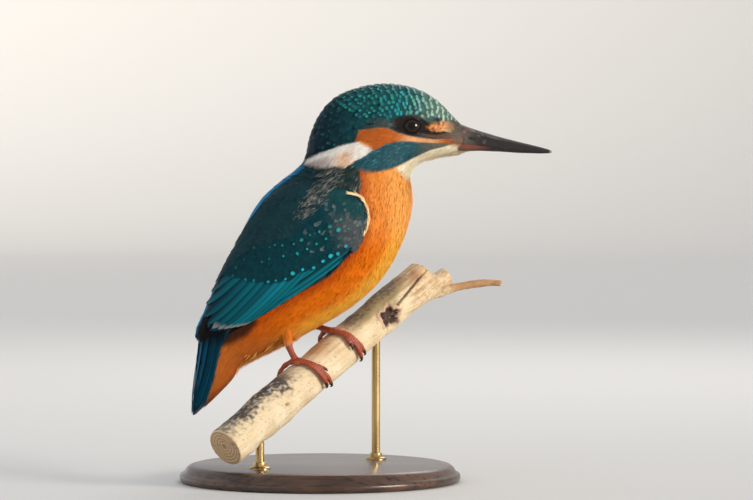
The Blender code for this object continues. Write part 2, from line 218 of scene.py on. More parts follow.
walnut, tree, shader = surface("stained_walnut", (0.06, 0.03, 0.018), 0.35, Coat_Weight=0.25,
                               Coat_Roughness=0.18)
figure = mottle(tree, 60, (0.35, 1.6, 1.6), 5.0, 1.2)
pores = mottle(tree, 900, (0.06, 1.0, 1.0), 3.0)
tone = blend(tree, figure, (0.030, 0.013, 0.007), (0.120, 0.055, 0.027), 0.32, 0.68)
tone = blend(tree, pores, (0.014, 0.006, 0.004), tone, 0.34, 0.47)
dress(tree, shader, tone, figure, (0.26, 0.42), pores, 0.00012, 0.35)
turned("stand_base_turned", BASE_PROFILE, (0, 0), walnut, "base_wood", "stand_base")

brass, tree, shader = surface("aged_brass", (0.62, 0.44, 0.19), 0.3, Metallic=1.0)
smudge = mottle(tree, 220, (1, 1, 0.25))
tone = blend(tree, smudge, (0.50, 0.33, 0.13), (0.70, 0.51, 0.24), 0.3, 0.7)
dress(tree, shader, tone, smudge, (0.16, 0.42))
for number in (1, 2):
    low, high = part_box(f"stand_rod_{number}")
    middle = ((low.x + high.x) / 2, (low.y + high.y) / 2)
    radius = (high.x - low.x) / 2 / MM
    top = high.z / MM + ROD_INTO_PERCH
    rod = [(0, ROD_FOOT), (radius, ROD_FOOT), (radius, top - ROD_BEVEL), (radius - ROD_BEVEL, top), (0, top)]
    turned(f"stand_rod_turned_{number}", rod, middle, brass, "rod", f"stand_rod_{number}")
    turned(f"stand_collar_{number}", COLLAR_PROFILE, middle, brass, "rod")

# ==================================================================== perch
# A short length of dead, barkless branch, bleached cream with grey and mossy weathering on top. Its lower
# end is sawn; its upper end is broken off in splinters beside an old stub and one dry twig. It is carved
# from the solid. Its sides and underside carry a painted highlight, and its top under the bird a painted
# warm reflection of the orange belly.
PERCH_MIDDLE = Vector((0.4, 0.0, 42.9))
PERCH_YAW, PERCH_SLOPE = math.radians(45), math.radians(29.7)
PERCH_ALONG = Vector((math.cos(PERCH_SLOPE) * math.cos(PERCH_YAW),
                      math.cos(PERCH_SLOPE) * math.sin(PERCH_YAW), math.sin(PERCH_SLOPE)))
PERCH_FRONT = Vector((math.sin(PERCH_YAW), -math.cos(PERCH_YAW), 0))
PERCH_TOP = PERCH_FRONT.cross(PERCH_ALONG)
PERCH_SAWN = -56.0
PERCH_VOXEL = 0.42 * MM
KNOT, SCAR, CHIP = (26.0, 60.6), (-11.6, 30.2), (-19.6, 15.0)  # seen from the front, across and up
CRACK = [(29.0, 64.8), (32.6, 69.0), (36.0, 73.0), (39.4, 77.0), (42.0, 79.6)]
PEELED = [(36, 76), (43, 79)]
CREAM_WOOD, TAN_WOOD, GREY_WOOD = (0.78, 0.63, 0.41), (0.52, 0.34, 0.17), (0.110, 0.095, 0.085)
MOSS, DARK_WOOD, END_WOOD = (0.20, 0.165, 0.055), (0.030, 0.011, 0.010), (0.30, 0.17, 0.09)
FAR = 99.0  # farther than any mark reaches


def points_of(bm):
    """A bmesh's places in millimetres, and which way it faces at each."""
    return np.array([vert.co for vert in bm.verts]) / MM, np.array([vert.normal for vert in bm.verts])


def move_to(bm, places):
    for vert, place in zip(bm.verts, places * MM):
        vert.co = place


def remeshed(bm, voxel):
    """The outer surface of everything in the bmesh, as one evenly divided closed mesh."""
    mesh = bpy.data.meshes.new("rough")
    bm.to_mesh(mesh)
    bm.free()
    rough = placed("rough", mesh)
    remesh = rough.modifiers.new("remesh", "REMESH")
    remesh.mode = "VOXEL"
    remesh.voxel_size = voxel
    even = bmesh.new()
    even.from_object(rough, bpy.context.evaluated_depsgraph_get())
    bpy.data.objects.remove(rough)
    bpy.data.meshes.remove(mesh)
    return even


def joined(shells):
    """Several bmeshes as one."""
    whole = bmesh.new()
    for shell in shells:
        loose = bpy.data.meshes.new("loose")
        shell.to_mesh(loose)
        shell.free()
        whole.from_mesh(loose)
        bpy.data.meshes.remove(loose)
    return whole


def whole_copy(nodes, swell=0.0):
    """The named solids in one bmesh, each with its doubles merged and swollen a little."""
    shells = []
    for name in nodes:
        shell = bmesh.new()
        shell.from_mesh(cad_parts[name].data)
        bmesh.ops.remove_doubles(shell, verts=shell.verts[:], dist=1e-6)
        bmesh.ops.recalc_face_normals(shell, faces=shell.faces[:])
        shell.normal_update()
        for vert in shell.verts:
            vert.co += vert.normal * swell
        shells.append(shell)
    return joined(shells)


def smoothed(bm, times):
    for _ in range(times):
        bmesh.ops.smooth_vert(bm, verts=bm.verts[:], factor=0.5, use_axis_x=True, use_axis_y=True,
                              use_axis_z=True)
    bm.normal_update()
    return bm


def ease(value, low, high):
    """0 at low, 1 at high, and smooth between."""
    t = np.clip((value - low) / (high - low), 0.0, 1.0)
    return t * t * (3 - 2 * t)


def layered(colors, *coats):
    """The colours with others laid over them in turn, each where its share is near 1."""
    for color, share in coats:
        colors = colors + (np.asarray(color) - colors) * np.asarray(share)[:, None]
    return colors


def paint(mesh, name, colors):
    """A colour attribute on a mesh, one colour to a point."""
    layer = mesh.attributes.new(name, "FLOAT_COLOR", "POINT")
    layer.data.foreach_set("color", np.hstack([colors, np.ones((len(colors), 1))]).astype(np.float32).ravel())


def lumps(p, scale, seed):
    """Smooth noise, -1 to 1, at many places in millimetres; scale is its grain along each axis."""
    return np.array([noise.noise(place) for place in (np.asarray(p) / scale + seed).tolist()])


def line_gap(p, line):
    """How far places lie, seen from the side, from a broken line."""
    x, z = p[:, 0], p[:, 2]
    gap = np.full(len(p), 1e9)
    corners = np.array(line, float)
    for (ax, az), (bx, bz) in zip(corners, corners[1:]):
        ex, ez = bx - ax, bz - az
        t = np.clip(((x - ax) * ex + (z - az) * ez) / (ex * ex + ez * ez), 0, 1)
        gap = np.minimum(gap, np.hypot(x - ax - t * ex, z - az - t * ez))
    return gap


def on_perch(p):
    """How far along the perch places lie, how far out of its middle, and at what angle round from its top."""
    out = p - np.array(PERCH_MIDDLE)
    along, up, front = (out @ np.array(way) for way in (PERCH_ALONG, PERCH_TOP, PERCH_FRONT))
    return along, np.hypot(up, front), np.arctan2(front, up)


perch_bm = smoothed(remeshed(whole_copy(["perch"]), PERCH_VOXEL), 3)
wood, wood_out = points_of(perch_bm)
along, reach, angle = on_perch(wood)
facing = wood_out[:, 1] < 0.25
main = (reach < 8.4) & (along < 61)
fibres = np.stack([along * 0.09, reach * np.cos(angle), reach * np.sin(angle)], axis=1)
knot_x, knot_z = wood[:, 0] - KNOT[0], (wood[:, 2] - KNOT[1]) * 0.95
knot_gap = np.hypot(knot_x, knot_z) + 0.55 * np.cos(5 * np.arctan2(knot_z, knot_x) + 0.6)
knot_gap = np.where(facing & (wood[:, 1] < 22), knot_gap + 0.9 * lumps(wood, 1.5, 3), FAR)
flake = ease(-np.abs(knot_gap - 3.9), -0.8, 0) * ease(-knot_x, 0.8, 2.6)
scar_gap = np.where(facing, np.hypot(wood[:, 0] - SCAR[0], (wood[:, 2] - SCAR[1]) * 1.5), FAR)
chip_gap = np.hypot(wood[:, 0] - CHIP[0], wood[:, 2] - CHIP[1])
crack_gap = np.where(facing & main, line_gap(wood, CRACK) + 0.25 * lumps(wood, 0.9, 5), FAR)
rise = 0.45 * lumps(wood, 9.0, 1) + 0.16 * lumps(wood, 3.0, 2) + 0.12 * lumps(fibres, 0.8, 4)
rise += 0.07 * lumps(fibres * (2.0, 1, 1), 0.35, 8)
rise += 0.55 * flake - 1.8 * ease(-knot_gap, -3.6, -1.6)
rise += 0.30 * ease(-np.abs(scar_gap - 1.5), -0.7, 0) - 0.45 * ease(-scar_gap, -1.2, -0.2)
rise -= 1.0 * ease(-crack_gap, -0.62, -0.12) + 0.9 * ease(-chip_gap, -3.2, -0.8)
rise -= 0.35 * ease(-np.abs(along - 30.5), -0.9, 0) * ease(np.cos(angle - 1.9), 0.2, 1.0)
sawn = ease(-along, 55.3, 55.9) * (reach < 7.6)
shattered = ease(along, 55.0, 61.5) * main
tear = 2.6 * lumps(fibres * (0, 1, 1), 1.5, 6) + 1.2 * lumps(fibres * (0, 1, 1), 0.6, 7) - 0.6
end_twig = ease(wood[:, 0], 66.5, 68.4)
carved = wood + wood_out * (rise * (1 - sawn) * (1 - 0.5 * shattered))[:, None]
carved += np.array(PERCH_ALONG) * (tear * shattered)[:, None]
carved += np.array((1.0, 0.1, -0.1)) * (0.8 * lumps(wood, 0.7, 9) * end_twig)[:, None]
move_to(perch_bm, carved)
perch_bm.normal_update()

cloud, fleck, fibre = lumps(wood, 7.0, 11), lumps(wood, 1.3, 12), lumps(fibres, 0.5, 13)
skyward = wood_out[:, 2] + 0.25 * cloud
# A dark patch on top of the lower end, flecked pale grey.
dark_top_end = ease(skyward + 0.25 * fleck, 0.55, 0.85) * ease(-along, 14, 24) * ease(along, -54, -46)
stub = ease(wood[:, 0], 47, 52) * ease(-reach, -FAR, -6.5) * ease(along, 44, 50) * (reach > 9)
tones = layered(
    CREAM_WOOD,
    (TAN_WOOD, 0.30 * ease(fibre, 0.0, 0.6) + 0.25 * ease(cloud, 0.1, 0.6)),
    # Lighter cream on the sides and underside: a painted highlight.
    ((0.88, 0.77, 0.57), 0.55 * ease(-cloud, 0.05, 0.5) * ease(-skyward, -0.5, 0.3)),
    (MOSS, 0.8 * ease(skyward, 0.30, 0.75) * ease(along, 12, 24) * ease(-along, -58, -44)),
    (GREY_WOOD, 0.9 * ease(skyward + 0.3 * fleck, 0.72, 1.0) * ease(along, 10, 24) * ease(-along, -57, -50)),
    (GREY_WOOD, 0.8 * ease(skyward + 0.4 * fleck, 0.45, 0.95) * ease(-along, 10, 24)),
    ((0.045, 0.030, 0.028), 0.85 * dark_top_end),
    ((0.55, 0.55, 0.58), 0.8 * dark_top_end * ease(lumps(wood, 1.7, 14), 0.25, 0.45)),
    # Orange-brown on top under the bird: a painted warm reflection of its belly.
    ((0.50, 0.22, 0.07), 0.55 * ease(skyward, 0.35, 0.9) * ease(-np.abs(along - 2), -11, -2)),
    (TAN_WOOD, 0.75 * ease(along + 3 * cloud, 40, 52) * ease(fleck + fibre, -0.5, 0.4)),
    ((0.40, 0.20, 0.11), 0.8 * ease(-line_gap(wood, PEELED), -4.0, -1.5) * facing * main),
    ((0.50, 0.25, 0.10), 0.85 * stub),
    ((0.33, 0.17, 0.10), 0.6 * ease(-knot_gap, -5.2, -3.4)),
    (DARK_WOOD, 0.95 * ease(-knot_gap, -3.7, -2.9)),
    ((0.74, 0.47, 0.34), 0.9 * flake),
    # Dark inside the crack: painted shade.
    (DARK_WOOD, 0.8 * ease(-crack_gap, -0.7, -0.2)),
    ((0.20, 0.11, 0.05), 0.7 * ease(-scar_gap, -1.3, -0.4) + 0.5 * ease(-chip_gap, -3.0, -1.2)),
    ((0.30, 0.24, 0.20), 0.6 * ease(fleck, 0.55, 0.75)),
    ((0.80, 0.58, 0.33), 0.9 * shattered),
    ((0.66, 0.36, 0.16), end_twig),
)
driftwood, tree, shader = surface("weathered_wood", CREAM_WOOD, 0.8)
fine = mottle(tree, 1500, (0.12, 1, 1), 3.0, 0.4)
tone = blend(tree, fine, (0.33, 0.24, 0.15), attribute(tree, "tone"), 0.22, 0.42)
dress(tree, shader, tone, fine, (0.70, 0.92), fine, 0.00015, 0.5)
perch = finished("perch_branch", perch_bm, driftwood)
paint(perch.data, "tone", tones)
fixed(perch, "bark", "perch")

# The sawn lower end is its own material: close rings round the pith, with a few drying cracks.
end_grain, tree, shader = surface("sawn_end", (0.62, 0.44, 0.25), 0.75)
lower_end = (PERCH_MIDDLE + PERCH_ALONG * PERCH_SAWN + PERCH_TOP * 0.8) * MM
out = vector_of(tree, "SUBTRACT", node(tree, "TexCoord").outputs["Object"], lower_end)
across = vector_of(tree, "SUBTRACT", out, vector_of(tree, "PROJECT", out, PERCH_ALONG))
radius = vector_of(tree, "LENGTH", across)
ringed = sum_of(tree, "MULTIPLY_ADD", mottle(tree, 260, detail=2.0), 0.0011, radius)
ringed = sum_of(tree, "SINE", sum_of(tree, "MULTIPLY", ringed, 5200.0))
tone = blend(tree, ringed, (0.60, 0.42, 0.24), (0.38, 0.23, 0.11), -0.2, 1.0)
tone = blend(tree, radius, END_WOOD, tone, 0.0003, 0.0011)
tone = blend(tree, mottle(tree, 1100, (0.15, 0.15, 1.0), 2.0), (0.25, 0.16, 0.09), tone, 0.25, 0.42)
dress(tree, shader, tone, height=ringed, depth=0.00006, strength=0.6)
perch.data.materials.append(end_grain)
faces = len(perch.data.polygons)
leans, middles = np.empty(faces * 3, np.float32), np.empty(faces * 3, np.float32)
perch.data.polygons.foreach_get("normal", leans)
perch.data.polygons.foreach_get("center", middles)
faces_down = leans.reshape(-1, 3) @ np.array(PERCH_ALONG) < -0.8
at_end = on_perch(middles.reshape(-1, 3) / MM)[0] < PERCH_SAWN + 1.5
perch.data.polygons.foreach_set("material_index", (faces_down & at_end).astype(np.int32))

# ==================================================================== skin and legs
# The body is one thin skin with no seam, from the bill's root to the tail, drawn over head, neck, trunk,
# tail and folded wings, with the bare legs. It lies inside the outline by the depth of the feathers, which
# grow out of it.
FLESH = ("head", "neck", "trunk", "tail", "wing_left", "wing_right")
SEAM = 0.22 * MM  # closes the thin cuts between the solids
SKIN_VOXEL = 0.66 * MM
BILL_ROOT = np.array((53.4, 0.0, 127.5))
EYE = np.array(sum(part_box("eye_left"), Vector()) / 2 / MM)


def mirrored(p):
    """Places brought to the left side, so that one rule serves both."""
    return np.abs(p) * (0, 1, 0) + p * (1, 0, 1)


def coat_depth(p):
    """How deep the feathers are at places p, in millimetres: thin on the face, deepest on the breast."""
    to_bill = np.linalg.norm(p - BILL_ROOT, axis=1)
    to_eye = np.linalg.norm(mirrored(p) - EYE, axis=1)
    depth = np.minimum(0.3 + 1.3 * ease(to_bill, 2, 36), 0.22 + 1.3 * ease(to_eye, 3.2, 14))
    return depth - (depth - 0.35) * ease(-p[:, 0] * 0.35 - p[:, 2], -62, -40)


outer_bm = smoothed(remeshed(whole_copy((*FLESH, "eye_left", "eye_right"), SEAM), SKIN_VOXEL), 6)
outer_faces = np.array([[vert.index for vert in face.verts] for face in outer_bm.faces])
outer_points, outer_lean = points_of(outer_bm)
outer_points = outer_points - outer_lean * SEAM / MM
outer = BVHTree.FromPolygons(outer_points.tolist(), outer_faces.tolist())

# The legs are short and bare. Three toes point forward, two of them joined at the root, and one back, and
# all curl round the perch; their skin is drawn over strung balls and then pressed into scutes.
FOOT_STATION, FOOT_ASKEW = 10.8, 4.6
ANKLES = {1: Vector((-2.2, 9.6, 57.6)), -1: Vector((-11.6, -8.0, 51.8))}
TARSUS_RADIUS, TOE_RADIUS = 1.25, 1.05
TOES = {"outer": (6, 128, 0.6, 1.0), "middle": (6, 140, -1.6, 1.05), "inner": (8, 84, -4.4, 0.9),
        "hind": (-6, -74, 1.6, 1.0)}  # first and last angle round the perch, sideways drift, thickness
CLAW_FROM = 0.80  # how far out along a toe its claw begins
LEG_VOXEL, SCUTE = 0.21 * MM, 0.85
LEG_RED, LEG_HIGHLIGHT_PINK, LEG_GROOVE_SHADE = (0.34, 0.046, 0.012), (0.50, 0.15, 0.070), (0.11, 0.014, 0.005)


def unit(v):
    return v / np.maximum(np.linalg.norm(v, axis=-1, keepdims=True), 1e-9)


def perch_thickness(along):
    """The branch swells a little at its old shoots and thins towards its broken end."""
    swell = 0.07 * math.exp(-(((along - 39) / 6) ** 2)) + 0.08 * math.exp(-(((along + 30) / 7) ** 2))
    return 7.2 * (1.03 - 0.0011 * max(0.0, along - 12) + swell)


def on_toe(side, toe, t, stand=0.0):
    """The middle of a toe, t of the way out along it, and how thick it is there."""
    first, last, drift, thick = TOES[toe]
    angle = first + (last - first) * t
    along = side * FOOT_STATION + FOOT_ASKEW * angle / 140 + side * (drift * t - 9 * (thick - 1.0))
    turned_by = math.radians(angle)
    reach = perch_thickness(along) + TOE_RADIUS * thick * 1.1 + 0.15 + stand
    place = PERCH_MIDDLE + PERCH_ALONG * along
    place += PERCH_TOP * (reach * math.cos(turned_by)) + PERCH_FRONT * (reach * math.sin(turned_by))
    joints = 0.10 * math.cos(math.tau * 3 * t)
    return place, TOE_RADIUS * thick * (1 - 0.28 * t) * (1 + joints)


def strung(bm, beads):
    """Balls strung closely along a line, for a skin to be drawn over."""
    for place, radius in beads:
        at = Matrix.Translation(place * MM)
        bmesh.ops.create_icosphere(bm, subdivisions=2, radius=radius * MM, matrix=at)


leg_lines = []
for side, ankle in ANKLES.items():
    sole = on_toe(side, "middle", -0.02)[0]
    knee = ankle + Vector((-0.6, 0, 2.5))
    middle = (ankle + sole) / 2 + Vector((-0.8, 0, 0))
    shin = [(knee.lerp(ankle, t), TARSUS_RADIUS * 1.27) for t in np.linspace(0, 0.9, 6)]
    for t in np.linspace(0, 1, 26):
        place = ankle * (1 - t) ** 2 + middle * (2 * t * (1 - t)) + sole * t**2
        shin.append((place, TARSUS_RADIUS * (0.93 + 0.34 * (1 - t) ** 3 + 0.22 * t**4)))
    leg_lines.append(shin)
    for toe in TOES:
        beads = [on_toe(side, toe, t) for t in np.linspace(0, CLAW_FROM + 0.03, 52)]
        root = beads[0][0]
        leg_lines.append([(sole.lerp(root, t), TOE_RADIUS * 1.08) for t in np.linspace(0, 0.8, 5)] + beads)
leg_bm = bmesh.new()
for beads in leg_lines:
    strung(leg_bm, beads)
leg_bm = smoothed(remeshed(leg_bm, LEG_VOXEL), 3)
leg_points, leg_out = points_of(leg_bm)
line_places, line_marks = [], []
for beads in leg_lines:
    reached = 0.0
    for i, (place, _) in enumerate(beads):
        reached += (place - beads[max(i - 1, 0)][0]).length
        line_places.append(place)
        line_marks.append(reached)
line_tree = kdtree.KDTree(len(line_places))
for i, place in enumerate(line_places):
    line_tree.insert(place, i)
line_tree.balance()
line_marks = np.array(line_marks)[[line_tree.find(place)[1] for place in leg_points.tolist()]]
away = leg_points - np.array(PERCH_MIDDLE)
away = unit(away - np.outer(away @ np.array(PERCH_ALONG), np.array(PERCH_ALONG)))
backs = ease((leg_out * away).sum(axis=1), -0.1, 0.45)
scute = np.abs((line_marks / SCUTE) % 1.0 - 0.5) * 2
pressed = -0.10 * ease(scute, 0.72, 0.98) * backs + 0.05 * lumps(leg_points, 0.55, 21) * (1 - backs)
leg_points = leg_points + leg_out * pressed[:, None]
move_to(leg_bm, leg_points)
# On the toes' outer sides each scute's crest has a painted pink highlight, each groove painted shade.
leg_tones = layered(
    LEG_RED,
    (LEG_HIGHLIGHT_PINK, 0.55 * backs * ease(-scute, -0.7, -0.1)),
    (LEG_GROOVE_SHADE, 0.75 * ease(scute, 0.7, 0.95) * backs),
    ((0.45, 0.19, 0.12), 0.6 * (1 - backs) * ease(lumps(leg_points, 0.8, 22), -0.2, 0.5)),
)

# ==================================================================== markings
# The plumage's pattern, laid out in side view in millimetres, the same on both sides, and read by skin and
# feathers alike. Each patch is a closed outline; later ones lie over earlier ones. Some patches hold painted
# shade and highlight, as said where they are laid.
RUFOUS_TOP = [(13.7, 129.9), (17.0, 130.4), (20.4, 130.9), (23.9, 131.2), (28.8, 129.1), (32.6, 128.0),
              (37.9, 127.2), (41.7, 126.7), (48.5, 126.9), (54.5, 126.4)]
RUFOUS_FOOT = [(54.5, 125.2), (41.7, 125.5), (37.9, 125.7), (30.4, 126.3), (24.7, 125.3), (19.8, 122.8),
               (17.1, 125.3), (13.7, 126.5)]
NECK_PATCH = [(13.7, 125.8), (7.4, 124.3), (0.0, 121.7), (-5.5, 118.8), (-6.3, 118.0), (-3.7, 117.3),
              (0.7, 116.2), (5.5, 116.9), (9.4, 116.6), (13.7, 119.3), (16.8, 120.8), (19.2, 122.8),
              (16.8, 124.6), (14.5, 125.5)]
CHEEK = [(50.0, 125.8), (43.2, 126.2), (36.0, 126.4), (30.4, 126.6), (24.7, 126.0), (19.8, 124.0),
         (16.4, 121.4), (12.0, 119.2), (12.6, 116.8), (16.8, 115.0), (21.3, 115.0), (25.8, 115.9),
         (29.6, 117.4), (34.1, 119.7), (40.9, 123.0), (46.0, 124.2)]
THROAT = [(62, 124.0), (50, 124.6), (46, 124.4), (40.9, 123.2), (34.1, 119.9), (29.6, 117.2), (28.1, 116.0),
          (30.3, 113.7), (32.6, 111.4), (40, 109), (62, 110)]
CROWN = [(-14, 117.0), (-6.3, 118.0), (-5.5, 118.8), (0.0, 121.7), (7.4, 124.3), (13.7, 125.8),
         *RUFOUS_TOP[:-1], (60, 127.0), (60, 152), (-14, 152)]
CAP = [(-14, 117.0), *CROWN[1:6], (14.1, 129.5), (20.4, 131.0), (27.8, 131.6), (31.0, 134.7), (37.2, 135.2),
       (42.0, 134.0), (49.0, 133.2), (60, 133.0), (60, 152), (-14, 152)]
LORE = [(39.6, 131.0), (41.3, 132.7), (44.4, 133.2), (46.4, 133.8), (48.6, 133.0), (49.6, 131.2),
        (47.8, 129.5), (44.7, 130.1), (41.6, 129.7)]
EYE_DARK = [(25.4, 132.8), (27.4, 133.9), (30.4, 135.4), (34.1, 135.5), (37.9, 134.4), (40.2, 132.9),
            (40.5, 131.4), (41.7, 129.8), (46.6, 129.6), (48.4, 128.9), (47.4, 128.2), (42.8, 128.2),
            (37.9, 128.9), (35.3, 128.3), (31.5, 128.8), (28.8, 129.9), (26.8, 131.2), (25.2, 132.0)]
GAPE = [(36.0, 128.9), (42.8, 128.4), (47.6, 129.2), (52, 129.6), (54, 126.6), (48.5, 127.0), (41.7, 127.0)]
BROW = [(27.0, 133.6), (30.4, 137.0), (36.0, 137.6), (40.5, 136.0), (42.4, 133.6), (40.2, 132.4),
        (34.0, 135.0)]
BACK = [(14.1, 118.0), (14.8, 114.7), (15.4, 110.6), (14.6, 107.4), (15.2, 104.0), (16.6, 100.6), (15.6, 92),
        (11.8, 85.1), (3.7, 76.6), (-11.1, 68.5), (-25.9, 60.3), (-31.0, 57.0), (-36.3, 50.7), (-39.2, 37.7),
        (-42.9, 27.4), (-43.5, 20), (-62, 20), (-62, 130), (-14, 130), (-6.3, 118.0), (-3.7, 117.3),
        (0.7, 116.2), (5.5, 116.9), (11.1, 118.0)]
UNDER_WING = [(-50, 51), (-44, 50), (-38, 50.5), (-33, 51.5), (-27, 54.5), (-22.5, 59.5), (-24, 61.5),
              (-50, 60)]
TAIL_EDGE = [(-33, 66), (-33.0, 57.5), (-36.3, 50.7), (-39.2, 37.7), (-42.9, 27.4), (-43.5, 20), (-62, 20),
             (-62, 66)]

BREAST_RUSSET, BREAST_ORANGE, BREAST_PALE = (0.60, 0.125, 0.022), (0.88, 0.290, 0.048), (0.98, 0.46, 0.115)
BELLY_DEEP, BELLY_ORANGE, BELLY_GOLD = (0.56, 0.082, 0.002), (0.84, 0.185, 0.004), (0.98, 0.46, 0.045)
UNDERTAIL_RUFOUS, FLANK_DARK_AND_SHADOW = (0.46, 0.120, 0.018), (0.022, 0.012, 0.006)
CREAM, THROAT_EDGE = (1.0, 0.88, 0.64), (0.90, 0.50, 0.20)
WHITE, PAINTED_WHITE_SHADOW, PAINTED_WARM_SHADOW = (1.0, 0.95, 0.88), (0.50, 0.38, 0.33), (0.92, 0.50, 0.24)
CHEEK_BLUE, CHEEK_LIGHT, CHEEK_GREY = (0.020, 0.092, 0.118), (0.058, 0.19, 0.23), (0.16, 0.155, 0.125)
RUFOUS, RUFOUS_PALE = (0.52, 0.120, 0.018), (0.88, 0.46, 0.22)
CROWN_DARK, NAPE_DARK, EAR_DUSK = (0.005, 0.050, 0.058), (0.001, 0.018, 0.028), (0.085, 0.090, 0.082)
EYE_BLACK, BROW_GREY = (0.014, 0.009, 0.008), (0.060, 0.105, 0.090)
LORE_ORANGE, LORE_PALE, LORE_DARK = (0.78, 0.30, 0.080), (0.98, 0.56, 0.26), (0.10, 0.045, 0.025)
GAPE_BROWN, BILL_ROOT_GREY = (0.16, 0.085, 0.055), (0.17, 0.13, 0.10)
MANTLE_DARK, MANTLE_GREY, MANTLE_FLECK = (0.006, 0.028, 0.034), (0.045, 0.062, 0.058), (0.24, 0.26, 0.22)
AZURE, TAIL_BLUE = (0.001, 0.260, 0.560), (0.003, 0.060, 0.115)
# The skin is a little darker than the plumage over it: painted shade between the feathers.
SKIN_SHADE = 0.9  # how light the skin is beside the feathers over it


def inside(p, outline):
    """How far inside a side-view outline places lie, in millimetres, and less than 0 outside."""
    x, z = p[:, 0], p[:, 2]
    within = np.zeros(len(p), bool)
    corners = np.array([*outline, outline[0]], float)
    for (ax, az), (bx, bz) in zip(corners, corners[1:]):
        if bz != az:
            within ^= ((az > z) != (bz > z)) & (x < (bx - ax) * (z - az) / (bz - az) + ax)
    gap = line_gap(p, corners)
    return np.where(within, gap, -gap)


def mixed(p, across, seed):
    """Soft patches about so many millimetres across, from 0 to 1."""
    return 0.5 + 0.5 * lumps(p, across, seed)


def plumage(p):
    """The colour of the plumage at places p."""
    p = mirrored(p)
    x, y, z = p.T

    def within(outline, low, high):
        """A share that rises from 0 to 1 as places go from low to high millimetres inside an outline."""
        return ease(inside(p, outline), low, high)

    back = inside(p, BACK)
    off_wing = -back + 1.2 * (mixed(p * (1, 1, 0.4), 1.6, 51) - 0.5)
    near = ease(off_wing, 0.5, 5.0)
    # Russet by the wing, pale at the outline: own colour with painted shade and painted highlight.
    breast = layered(BREAST_RUSSET, (BREAST_ORANGE, near), (BREAST_PALE, 0.75 * ease(off_wing, 6.0, 13.0)))
    # Gold at the outline, darker towards the tail: own colour with painted highlight and shade.
    belly = layered(BELLY_DEEP, (BELLY_ORANGE, near), (BELLY_GOLD, ease(off_wing, 7.5, 13.0)),
                    (BELLY_DEEP, 0.75 * ease(-x, 4, 28)))
    mantle = layered(
        MANTLE_DARK,
        (MANTLE_GREY, ease(x, -6, 6) * ease(mixed(p, 2.4, 53), 0.35, 0.7)),
        (MANTLE_FLECK, ease(mixed(p, 0.8, 52), 0.66, 0.8) * ease(x, -4, 4) * ease(z, 104, 107)),
    )
    on_back = ease(back, -0.5, 0.5)
    stripe = ease(-y + 1.2 * (mixed(p, 1.6, 59) - 0.5), -7.3, -5.7) * ease(-x, -2, 6)
    crown, throat, cheek = within(CROWN, -0.35, 0.35), within(THROAT, -0.5, 0.5), within(CHEEK, -0.35, 0.35)
    white = within(NECK_PATCH, -0.3, 0.3) * ease(y, 2.9, 4.0)
    white_in_shadow = white * ease(-(z - 119.5 - 0.32 * x), -1.2, 1.6)
    ear = within(RUFOUS_TOP + RUFOUS_FOOT, -0.3, 0.3)
    dusk = ease(-np.hypot((x - 22.0) / 2.6, z - 131.9 - 0.10 * (x - 22)), -3.0, -0.9)
    lore = ease(inside(p, LORE) + 1.6 * (mixed(p, 1.0, 57) - 0.5), -0.5, 0.3)
    lore_spots = mixed(p, 0.9, 55) - 0.04 * (x - 46) + 0.05 * (z - 132)
    bill_root = ease(x + 0.25 * (z - 127), 46.0, 50.0) * ease(-np.abs(z - 129.2), -6.0, -4.0)
    return layered(
        breast,
        (belly, ease(-z, -98, -84)),
        (UNDERTAIL_RUFOUS, ease(-z, -60, -47)),
        (mantle, on_back),
        # Below the wing tips: dark flank feathers with painted shadow of the wing.
        (FLANK_DARK_AND_SHADOW, 0.93 * within(UNDER_WING, -1.6, 1.4)),
        (AZURE, stripe * on_back * ease(-z, -120, -114)),
        (TAIL_BLUE, within(TAIL_EDGE, -0.3, 0.3)),
        (CROWN_DARK, crown),
        (NAPE_DARK, crown * ease(-x, -16, 2)),
        (CREAM, throat),
        (THROAT_EDGE, 0.5 * throat * ease(-inside(p, THROAT), -1.6, -0.2) * ease(-z, -117, -113)),
        (CHEEK_BLUE, cheek),
        (CHEEK_LIGHT, cheek * ease(mixed(p, 0.62, 54), 0.56, 0.75) * ease(-x, -40, -28)),
        (CHEEK_GREY, cheek * ease(x, 33, 43)),
        (NAPE_DARK, within(NECK_PATCH, -1.5, -0.2) * ease(-x, -8, -3)),
        (WHITE, white),
        # The white patch's lower part in painted shade: grey at the back, warm at the front.
        (PAINTED_WHITE_SHADOW, white_in_shadow * ease(-x, -8, 2)),
        (PAINTED_WARM_SHADOW, 0.75 * white_in_shadow * ease(x, 3, 9) * ease(-x, -14, -9)),
        (RUFOUS, ear),
        (RUFOUS_PALE, ear * ease(x, 27, 36) * ease(-x, -47, -41)),
        (BROW_GREY, 0.8 * within(BROW, -0.8, 0.6)),
        (EYE_BLACK, within(EYE_DARK, -0.45, 0.35)),
        (EAR_DUSK, 0.75 * dusk * (1 - ear) * (0.5 + 0.5 * mixed(p, 0.7, 58))),
        (LORE_ORANGE, lore),
        (LORE_PALE, 0.8 * lore * ease(mixed(p, 1.1, 56) + 0.08 * (x - 45), 0.35, 0.7)),
        (LORE_DARK, 0.8 * lore * ease(lore_spots, 0.60, 0.70)),
        (GAPE_BROWN, 0.85 * within(GAPE, -0.5, 0.4)),
        (BILL_ROOT_GREY, 0.8 * bill_root),
    )


move_to(outer_bm, outer_points - outer_lean * coat_depth(outer_points)[:, None])
skin_mat, tree, shader = surface("skin", (0.4, 0.1, 0.05), 0.5, Subsurface_Weight=0.12, Subsurface_Scale=1.0,
                                 Subsurface_Radius=(0.0012, 0.0005, 0.0003))
pebble = mottle(tree, 2600, detail=3.0)
tone = blend(tree, pebble, (0.05, 0.02, 0.012), attribute(tree, "plumage"), 0.22, 0.40)
dress(tree, shader, tone, pebble, (0.34, 0.62), pebble, 0.00008, 0.5)
skin = finished("skin", joined([outer_bm, leg_bm]), skin_mat)
paint(skin.data, "plumage", np.vstack([plumage(outer_points) * SKIN_SHADE, leg_tones]))
fixed(skin, "feather_orange", *FLESH, "leg_left", "leg_right")

